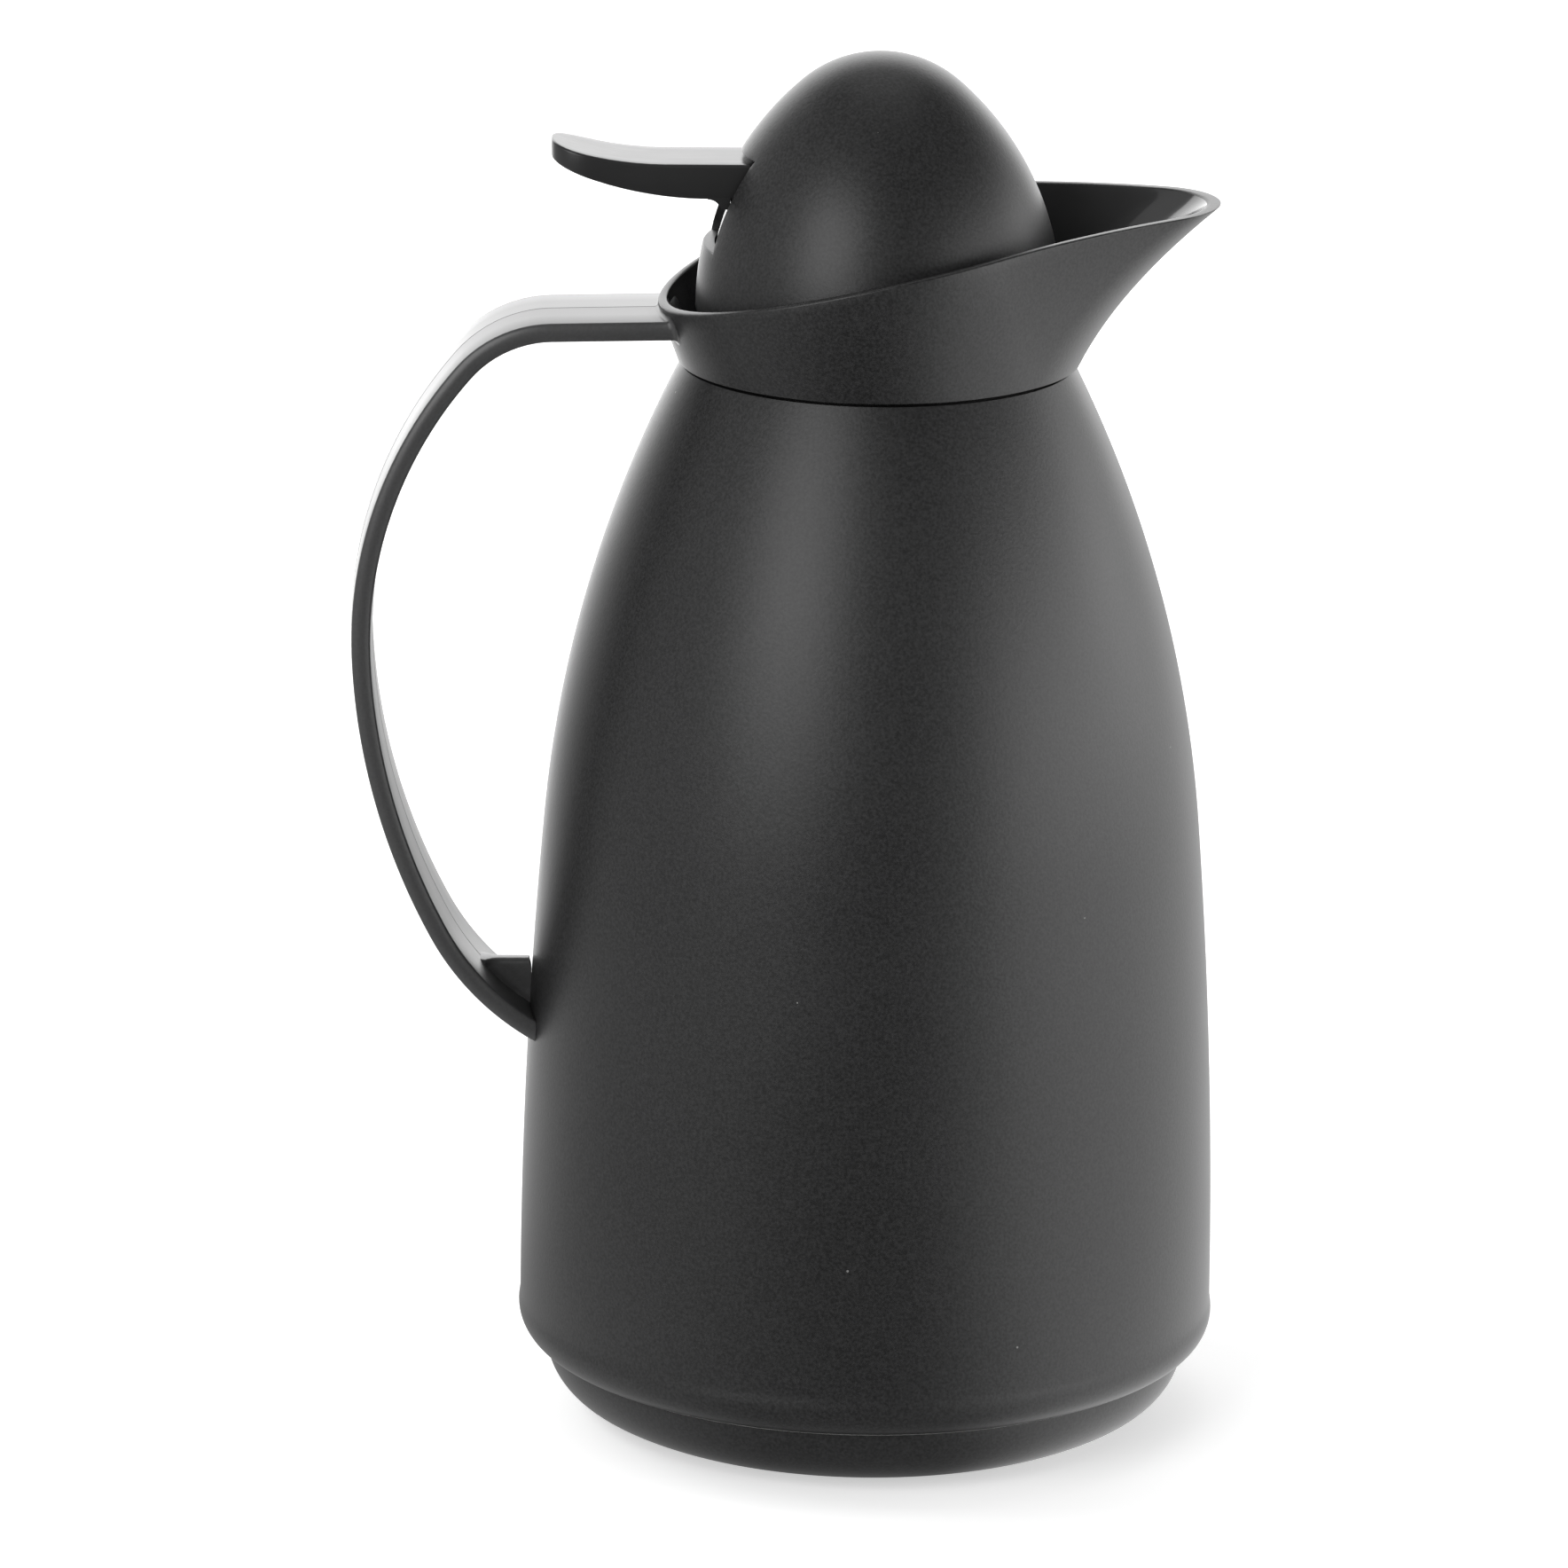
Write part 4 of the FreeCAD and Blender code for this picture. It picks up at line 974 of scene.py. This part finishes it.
class JUG_OT_handle(Operator):
    """Adds the strap handle and the web at its lower end."""

    bl_idname = "jug.handle"
    bl_label = "Handle"

    def execute(self, context):
        form = context.scene.jug_form
        bm = bmesh.new()
        self.add_strap(bm, form)
        self.add_web(bm, form)
        # The strap takes the paler black: painted light on the handle
        new_piece("handle_strap", bm, [handle_painted_light_black], "jug", "spout_collar")
        return {"FINISHED"}

    def add_strap(self, bm, form):
        """The strap, from a fillet at the collar's back over its bends and down to the body."""
        bends, last = strap_stations(form)
        way = Vector((math.cos(strap_heading), math.sin(strap_heading)))
        side_way = Vector((-way.y, way.x))
        fillet = form.root_fillet
        flares = [fillet * (1 - math.cos(turn)) for turn in spread(0, RIGHT_ANGLE, round_steps)]
        section = strap_section(form)
        lines = [(y, depth) for y, depth, out_y, out_depth in section]
        rings = []
        for off in [-fillet] + flares:
            swell = fillet - math.sqrt(max(0.0, fillet ** 2 - (fillet - max(off, 0)) ** 2))
            ring = []
            for y, depth, out_y, out_depth in section:
                y += out_y * swell
                start = strap_top + side_way * (depth + out_depth * swell)
                reach = (start.x - collar_back_x(y, start.y) + off) / abs(way.x)
                place = start + way * reach
                ring.append(Vector((place.x, y, place.y)))
            rings.append(ring)
        bent = [[Vector((spot.x, y, spot.y)) for y, depth in lines for spot in beside([station], depth)]
                for station in bends]
        root = rings[-1]
        for share in spread(0, 1, strap_straight_steps)[1:-1]:
            rings.append([spot.lerp(end, share) for spot, end in zip(root, bent[0])])
        rings += bent
        ends = [share_at_shell(last, y, depth) for y, depth in lines]
        for share in spread(0, 1, strap_end_steps)[1:]:
            ring = []
            for end, (y, depth) in zip(ends, lines):
                spot = place_at(last, end * share, depth)
                ring.append(Vector((spot.x, y, spot.y)))
            rings.append(ring)
        add_tube(bm, [[bm.verts.new(spot) for spot in ring] for ring in rings])

    def add_web(self, bm, form):
        """The web from the strap's inner face to the body, with a fillet at its root and a rounded top."""
        last = strap_stations(form)[1]
        middle = beside(last, strap_t / 2)
        inner = beside(last, strap_t)
        curve_start = Vector((web_corner_x - web_curve.x, web_top_z + web_curve.y))
        top = beside(tangent_arcs(curve_start, -2 * math.atan2(web_curve.y, web_curve.x),
                                  [(web_corner_x, web_top_z)], form.step / 4))
        end_x = -flank_r(web_top_z) - shell_gap(web_top_z)
        top += [Vector((x, web_top_z)) for x in spread(web_corner_x, end_x, web_steps)[1:]]
        rings = []
        for number, crest in enumerate(top):
            root_z = min(middle, key=lambda place: abs(place.x - crest.x)).y
            face_z = min(inner, key=lambda place: abs(place.x - crest.x)).y
            low = max(root_z, strap_low_z + strap_t / 2)
            high = crest.y - web_round
            side = [(self.web_half(z - face_z), z) for z in spread(low, high, web_rows)[:-1]]
            flat = self.web_half(high - face_z) - web_round
            side += [(flat + web_round * math.cos(turn), high + web_round * math.sin(turn))
                     for turn in spread(0, RIGHT_ANGLE, round_steps)]
            ring = []
            for y, z in side + [(-y, z) for y, z in reversed(side)]:
                x = crest.x
                if number == len(top) - 1:
                    x = -math.sqrt((flank_r(z) + shell_gap(z)) ** 2 - y ** 2)
                ring.append(bm.verts.new((x, y, z)))
            rings.append(ring)
        add_tube(bm, rings)

    def web_half(self, rise):
        """Half the web's thickness at a height over the strap, wider in the fillet at its root."""
        off = min(max(rise * web_slope, 0), web_root)
        return web_t / 2 + web_root - math.sqrt(web_root ** 2 - (web_root - off) ** 2)


def dome_belly_z():
    """Height at which the dome is widest."""
    reach = dome_flank_r - dome_crown_r
    return dome_high.z - dome_crown_r - math.sqrt(reach ** 2 - (dome_flank_r - dome_r) ** 2)


def dome_radius(z, inset=0.0):
    """Radius of the dome's flank at a height, moved inwards by inset."""
    belly_z = dome_belly_z()
    return dome_r - dome_flank_r + math.sqrt((dome_flank_r - inset) ** 2 - (z - belly_z) ** 2)


def dome_rows(inset):
    """Radii and heights up the dome's wall, moved inwards by inset."""
    belly_z = dome_belly_z()
    flank_x = dome_r - dome_flank_r
    reach = dome_flank_r - dome_crown_r
    crown_z = dome_high.z - dome_crown_r
    join = math.asin((crown_z - belly_z) / reach)
    radius = dome_flank_r - inset
    floor = math.asin((slot_low_z - belly_z) / radius)
    roof = math.asin((slot_top_z - belly_z) / radius)
    angles = spread(0, floor, below_rows)[:-1] + spread(floor, roof, slot_rows)[:-1]
    angles += spread(roof, join, above_rows)[:-1]
    rows = [(flank_x + radius * math.cos(angle), belly_z + radius * math.sin(angle)) for angle in angles]
    crown = dome_crown_r - inset
    for angle in spread(join, RIGHT_ANGLE, crown_rows):
        rows.append((max(0.0, crown * math.cos(angle)), crown_z + crown * math.sin(angle)))
    return rows


class JUG_OT_dome(Operator):
    """Adds the egg-shaped stopper dome with the lever's slot."""

    bl_idname = "jug.dome"
    bl_label = "Stopper dome"

    def execute(self, context):
        form = context.scene.jug_form
        bm = bmesh.new()
        outer, inner = [self.wall_rings(bm, inset) for inset in (0.0, dome_wall)]
        for rings in (outer, inner):
            self.add_wall(bm, rings)
        self.add_lower_edge(bm, outer[0], inner[0])
        edges = self.add_slot_sides(bm, outer, inner)
        bmesh.ops.bevel(bm, geom=edges, offset=form.slot_round, segments=3, profile=0.5, affect="EDGES")
        loose = [v for v in bm.verts if not v.link_faces]
        bmesh.ops.delete(bm, geom=loose, context="VERTS")
        new_piece("dome_cover", bm, [satin_black], "stopper", "stopper_dome")
        return {"FINISHED"}

    def wall_rings(self, bm, inset):
        """Rings of points up one side of the wall; the first slot_cells steps of each go across the slot."""
        rows = dome_rows(inset)
        rings = []
        for number, (radius, z) in enumerate(rows):
            if radius < TINY:
                rings.append([bm.verts.new((0, 0, z))] * (slot_cells + wall_cells))
                continue
            half = math.asin(slot_half / rows[min(max(number, slot_floor), slot_roof)][0])
            angles = spread(-half, half, slot_cells)[:-1] + spread(half, math.tau - half, wall_cells)[:-1]
            rings.append([bm.verts.new(polar(-radius, angle, z)) for angle in angles])
        return rings

    def add_wall(self, bm, rings):
        """Faces of one side of the wall, leaving the slot open."""
        for number, (ring, after) in enumerate(zip(rings, rings[1:])):
            first = slot_cells if slot_floor <= number < slot_roof else 0
            for cell in range(first, len(ring)):
                beyond = (cell + 1) % len(ring)
                add_face(bm, [ring[cell], ring[beyond], after[beyond], after[cell]])

    def add_lower_edge(self, bm, outer, inner):
        """The dome's rounded lower edge."""
        belly_z = dome_belly_z()
        rings = [outer]
        for angle in spread(0, RIGHT_ANGLE, round_steps)[1:]:
            shrink = (dome_r - dome_edge * (1 - math.cos(angle))) / dome_r
            z = belly_z - (belly_z - dome_low.z) * math.sin(angle)
            rings.append([bm.verts.new((v.co.x * shrink, v.co.y * shrink, z)) for v in outer])
        add_bands(bm, rings + [inner])

    def add_slot_sides(self, bm, outer, inner):
        """Floor, roof and sides of the slot through the wall; gives its edges on the outside."""
        loop = [(slot_floor, cell) for cell in range(slot_cells)]
        loop += [(row, slot_cells) for row in range(slot_floor, slot_roof)]
        loop += [(slot_roof, cell) for cell in range(slot_cells, 0, -1)]
        loop += [(row, 0) for row in range(slot_roof, slot_floor, -1)]
        edges = []
        for (row, cell), (row_after, cell_after) in zip(loop, loop[1:] + loop[:1]):
            one, two = outer[row][cell], outer[row_after][cell_after]
            bm.faces.new((one, two, inner[row_after][cell_after], inner[row][cell]))
            edges.append(bm.edges.get((one, two)))
        return edges


def lever_level(x, flat_z, start_x, sweep):
    """Height of the lever's top or underside: level up to start_x, then rising on an arc."""
    run = max(0.0, start_x - x)
    return flat_z + sweep - math.sqrt(sweep ** 2 - run ** 2)


class JUG_OT_thumb_lever(Operator):
    """Adds the thumb lever with its skirt and hinge eye."""

    bl_idname = "jug.thumb_lever"
    bl_label = "Thumb lever"

    def execute(self, context):
        form = context.scene.jug_form
        bm = bmesh.new()
        self.add_bar(bm, form)
        self.add_root(bm, form)
        self.add_skirt(bm)
        self.add_eye(bm)
        new_piece("lever_thumb", bm, [lever_black], "lever", "thumb_lever")
        return {"FINISHED"}

    def plan(self, inset):
        """The lever's outline from above, moved inwards by inset: a side, the round nose, the other side."""
        half = lever_half - inset
        nose_x = lever_low.x + lever_half
        end_x = pivot.x - (eye_r + pin_r) / 2
        side = [(x, half) for x in spread(end_x, nose_x, lever_side_steps)[:-1]]
        nose = []
        for angle in spread(RIGHT_ANGLE, 3 * RIGHT_ANGLE, lever_nose_steps):
            across = math.copysign(abs(math.sin(angle)) ** nose_power, math.sin(angle))
            nose.append((nose_x - half * abs(math.cos(angle)) ** nose_power, half * across))
        return side + nose + [(x, -y) for x, y in reversed(side)]

    def add_bar(self, bm, form):
        """The lever's bar from its nose to the hinge, with rounded edges."""
        edge = form.lever_round
        rings = []
        for level, upward in ((lever_under, -1), (lever_top, 1)):
            for turn in spread(0, RIGHT_ANGLE, lever_edge_steps)[::upward]:
                drop = edge * (1 - math.sin(turn)) * upward
                outline = self.plan(edge * (1 - math.cos(turn)))
                rings.append([bm.verts.new((x, y, lever_level(x, *level) - drop)) for x, y in outline])
        add_grid(bm, rings)
        self.fill_side(bm, rings[0], lever_under)
        self.fill_side(bm, rings[-1], lever_top)
        bm.faces.new([ring[0] for ring in rings] + [ring[-1] for ring in reversed(rings)])

    def fill_side(self, bm, ring, level):
        """The lever's top or underside, filled across from one side of the outline to the other."""
        tip = len(ring) // 2
        rows = []
        for left, right in zip(ring[:tip], reversed(ring)):
            row = [left]
            for share in spread(0, 1, lever_columns)[1:-1]:
                spot = left.co.lerp(right.co, share)
                row.append(bm.verts.new((spot.x, spot.y, lever_level(spot.x, *level))))
            rows.append(row + [right])
        rows.append([ring[tip]] * (lever_columns + 1))
        add_grid(bm, rows)

    def add_root(self, bm, form):
        """The curve from the lever's underside down into its skirt."""
        curve = tangent_arcs((lever_root_x, lever_under_z), 0,
                             [(lever_root_x + skirt_curve.x, lever_under_z + skirt_curve.y)], form.step / 8)
        back_x = lever_root_x + skirt_curve.x + skirt_t
        root_z = lever_under_z + form.lever_round
        line = [Vector((lever_root_x, root_z))] + beside(curve)
        line += places((back_x, line[-1].y), (back_x, root_z))
        half = lever_half - skirt_inset
        rings = [[bm.verts.new((place.x, y, place.y)) for place in line] for y in (-half, half)]
        add_bands(bm, rings)
        for ring in rings:
            bm.faces.new(ring)

    def add_skirt(self, bm):
        """The curved skirt behind the dome's slot."""
        half = lever_half - skirt_inset
        walls = []
        for inset in (dome_wall + skirt_gap, dome_wall + skirt_gap + skirt_t):
            wall = []
            for z in spread(skirt_low_z, lever_under_z + skirt_t / 2, skirt_rows):
                radius = dome_radius(z, inset)
                wall.append([bm.verts.new((-math.sqrt(radius ** 2 - y ** 2), y, z))
                             for y in spread(-half, half, skirt_columns)])
            walls.append(wall)
        outer, inner = walls
        add_bands(bm, [row + after[::-1] for row, after in zip(outer, inner)])
        for end in (0, -1):
            add_grid(bm, [outer[end], inner[end]])

    def add_eye(self, bm):
        """The hinge eye round the lever's pin."""
        bore = pin_r + eye_play
        rings = []
        for radius, y in ((bore, -lever_half), (eye_r, -lever_half), (eye_r, lever_half), (bore, lever_half)):
            spots = [polar(radius, angle, y) for angle in spread(0, math.tau, eye_facets)[:-1]]
            rings.append([bm.verts.new((pivot.x + spot.x, spot.z, pivot.y + spot.y)) for spot in spots])
        add_bands(bm, rings + rings[:1])


class JUG_OT_return_spring(Operator):
    """Adds the valve's coil spring."""

    bl_idname = "jug.return_spring"
    bl_label = "Return spring"

    def execute(self, context):
        low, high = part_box("valve_spring")
        coil_r = high.x - spring_wire_r
        full_turn = math.tau * spring_turns
        climb = high.z - low.z - 2 * spring_wire_r
        bm = bmesh.new()
        rings = []
        for share in spread(0, 1, spring_turn_steps * spring_turns):
            out = polar(1, full_turn * share, 0)
            along = Vector((-out.y, out.x, climb / (full_turn * coil_r))).normalized()
            up = out.cross(along)
            centre = out * coil_r + Vector((0, 0, low.z + spring_wire_r + climb * share))
            rings.append([bm.verts.new(centre + (out * math.cos(turn) + up * math.sin(turn)) * spring_wire_r)
                          for turn in spread(0, math.tau, spring_wire_facets)[:-1]])
        add_tube(bm, rings)
        spring = new_piece("return_spring", bm, [drawn_steel], "stopper", "valve_spring")
        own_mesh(spring)
        return {"FINISHED"}


class JUG_OT_inner_parts(Operator):
    """Gives the liner, stopper and valve parts of the frame their finishes."""

    bl_idname = "jug.inner_parts"
    bl_label = "Inner parts"

    def execute(self, context):
        makers = {
            "inner_plastic": inner_grey,
            "silvered_glass": silvered_glass,
            "felt_pad": pressed_felt,
            "soft_rubber": soft_rubber,
            "steel": drawn_steel,
        }
        for part in frame["record"]["subparts"]:
            if part["material_slot"] not in makers:
                continue
            node = frame["nodes"][part["node"]]
            if not node.material_slots:
                node.data.materials.append(None)
            for slot in node.material_slots:
                slot.material = material_of(makers[part["material_slot"]])
        return {"FINISHED"}


def camera_matrix():
    """Where the camera stands and looks, seen from the jug."""
    level = math.cos(camera_pitch)
    ahead = Vector((math.sin(camera_yaw) * level, math.cos(camera_yaw) * level, -math.sin(camera_pitch)))
    right = Vector((math.cos(camera_yaw), -math.sin(camera_yaw), 0))
    up = right.cross(ahead)
    rolled_right = right * math.cos(camera_roll) + up * math.sin(camera_roll)
    rolled_up = up * math.cos(camera_roll) - right * math.sin(camera_roll)
    axes = Matrix((rolled_right, rolled_up, -ahead)).transposed().to_4x4()
    return Matrix.Rotation(-jug_turn, 4, "Z") @ Matrix.Translation(camera_place) @ axes


def mirrored_room(finish, way, stage):
    """How bright the room looks in a reflection: dim in front, bright on the spout's side and behind."""
    toward = finish.parts(way)
    right = finish.ramp(toward["X"], dark=0.2, bright=0.85, most=stage.side_light)
    low = finish.ramp(toward["Z"], dark=0.5, bright=0.1)
    left = finish.ramp(toward["X"], dark=-0.3, bright=-1.0, most=0.45)
    behind = finish.ramp(toward["Y"], dark=0.6, bright=0.95, most=0.9)
    return stage.front_dark + right * low + left + behind


class JUG_OT_stage(Operator):
    """Adds the floor, the lamps, the room's light and the camera."""

    bl_idname = "jug.stage"
    bl_label = "Stage"

    # Name, bearing from the front to the spout's side and height of the middle in degrees, distance,
    # width, height and brightness
    panels = (
        ("left_box", -36, 24, 1.5, 0.9, 1.0, 3.8),
        ("right_wall", 82, 8, 1.5, 2.4, 0.6, 2.4),
        ("back_wall", 180, 18, 1.8, 2.2, 1.6, 2.1),
        ("overhead", 170, 80, 1.6, 1.2, 1.0, 0.8),
        ("left_fill", -105, 40, 1.6, 1.0, 0.8, 3.2),
    )
    # Lamps that reflections don't show
    plain_lamps = ("left_fill",)

    def execute(self, context):
        stage = context.scene.jug_stage
        self.add_floor(stage)
        for panel in self.panels:
            self.add_panel(*panel)
        self.light_room(context.scene, stage)
        camera = bpy.data.objects.new("camera", bpy.data.cameras.new("camera"))
        camera.data.lens = stage.lens
        camera.data.sensor_width = camera_film
        camera.data.clip_end = camera_far
        camera.matrix_world = camera_matrix()
        context.scene.collection.objects.link(camera)
        context.scene.camera = camera
        context.scene.view_settings.view_transform = "Standard"
        return {"FINISHED"}

    def add_floor(self, stage):
        """A square floor just under the jug."""
        half = stage.floor_size / 2
        corners = ((-half, -half), (half, -half), (half, half), (-half, half))
        mesh = bpy.data.meshes.new("floor")
        mesh.from_pydata([(x, y, -floor_drop) for x, y in corners], [], [range(len(corners))])
        mesh.materials.append(self.floor_finish(stage))
        floor = bpy.data.objects.new("floor", mesh)
        bpy.context.scene.collection.objects.link(floor)

    def floor_finish(self, stage):
        """Pale floor that the camera sees lifted; in reflections it shows the room's brightness instead."""
        finish = new_finish("pale_floor")
        finish.finish(Base_Color=opaque(stage.floor_colour), Roughness=0.9, Specular_IOR_Level=0.0)
        seen, mirrored = finish.rays()
        place = finish.place()
        spot = finish.parts(place)
        way = finish.node("ShaderNodeVectorMath", {"operation": "NORMALIZE"}, {0: place}).outputs[0]
        toward = finish.parts(way)
        reach = finish.tone("ShaderNodeVectorMath", "Value", {"operation": "LENGTH"}, {0: place})
        near = finish.ramp(reach, dark=0.2, bright=0.08, most=0.2)
        strip = finish.ramp(spot["Y"], dark=0.03, bright=0.15, most=stage.close_light)
        strip = strip * finish.ramp(spot["X"], dark=-0.02, bright=-0.1)
        strip = strip * finish.ramp(spot["X"], dark=-0.45, bright=-0.15)
        far = finish.ramp(toward["Y"], dark=0.8, bright=1.0, most=stage.far_light)
        far = far * finish.ramp(toward["X"], dark=0.06, bright=-0.2)
        lift = finish.glow(seen * stage.floor_lift)
        shine = finish.glow(mirrored_room(finish, way, stage) + near + strip + far)
        lit = finish.node("ShaderNodeAddShader", {}, {0: finish.shader.outputs[0], 1: lift}).outputs[0]
        both = finish.node("ShaderNodeMixShader", {}, {0: mirrored, 1: lit, 2: shine})
        finish.feed(finish.tree.nodes["Material Output"].inputs["Surface"], both.outputs[0])
        return finish.owner

    def add_panel(self, name, bearing, height, distance, width, tall, brightness):
        """A soft rectangular lamp that faces the jug; brightness is 1 where it shows as white."""
        lamp = bpy.data.lights.new(name, "AREA")
        lamp.shape = "RECTANGLE"
        lamp.size = width
        lamp.size_y = tall
        lamp.energy = brightness * math.pi * width * tall
        aim = Vector((0, 0, (cad_box[0].z + cad_box[1].z) / 2))
        around = math.radians(bearing)
        rise = math.radians(height)
        way = Vector((math.sin(around) * math.cos(rise), -math.cos(around) * math.cos(rise), math.sin(rise)))
        panel = bpy.data.objects.new(name, lamp)
        panel.location = aim + way * distance
        panel.rotation_euler = way.to_track_quat("Z", "Y").to_euler()
        panel.visible_camera = False
        panel.visible_glossy = name not in self.plain_lamps
        bpy.context.scene.collection.objects.link(panel)

    def light_room(self, scene, stage):
        """White for the camera, the room's own brightness in reflections, and even light elsewhere."""
        scene.world = scene.world or bpy.data.worlds.new("room")
        room = Finish(scene.world)
        seen, mirrored = room.rays()
        way = room.node("ShaderNodeTexCoord").outputs["Generated"]
        brightness = stage.room_light + mirrored * (mirrored_room(room, way, stage) - stage.room_light)
        brightness = brightness + seen * (1 - brightness)
        background = room.tree.nodes.get("Background") or room.node("ShaderNodeBackground")
        room.feed(background.inputs["Color"], brightness)
        room.feed(background.inputs["Strength"], 1.0)
        output = room.tree.nodes.get("World Output") or room.node("ShaderNodeOutputWorld")
        room.feed(output.inputs["Surface"], background.outputs[0])


class JUG_PT_panel(Panel):
    """Lists the jug's pieces and settings."""

    bl_idname = "JUG_PT_panel"
    bl_label = "Vacuum jug"
    bl_space_type = "VIEW_3D"
    bl_region_type = "UI"
    bl_category = "Jug"

    def draw(self, context):
        for operator in OPERATORS:
            self.layout.operator(operator.bl_idname)
        for group in (context.scene.jug_form, context.scene.jug_finish, context.scene.jug_stage):
            box = self.layout.box()
            for name in group.__annotations__:
                box.prop(group, name)


OPERATORS = (JUG_OT_body_shell, JUG_OT_base, JUG_OT_spout_collar, JUG_OT_handle, JUG_OT_dome,
             JUG_OT_thumb_lever, JUG_OT_return_spring, JUG_OT_inner_parts, JUG_OT_stage)
CLASSES = (JugForm, JugFinish, JugStage) + OPERATORS + (JUG_PT_panel,)


def register():
    for cls in CLASSES:
        bpy.utils.register_class(cls)
    bpy.types.Scene.jug_form = PointerProperty(type=JugForm)
    bpy.types.Scene.jug_finish = PointerProperty(type=JugFinish)
    bpy.types.Scene.jug_stage = PointerProperty(type=JugStage)


def unregister():
    del bpy.types.Scene.jug_stage
    del bpy.types.Scene.jug_finish
    del bpy.types.Scene.jug_form
    for cls in reversed(CLASSES):
        bpy.utils.unregister_class(cls)


def main():
    register()
    bpy.ops.jug.body_shell()
    bpy.ops.jug.base()
    bpy.ops.jug.spout_collar()
    bpy.ops.jug.handle()
    bpy.ops.jug.dome()
    bpy.ops.jug.thumb_lever()
    bpy.ops.jug.return_spring()
    bpy.ops.jug.inner_parts()
    bpy.ops.jug.stage()


if __name__ == "__main__":
    main()
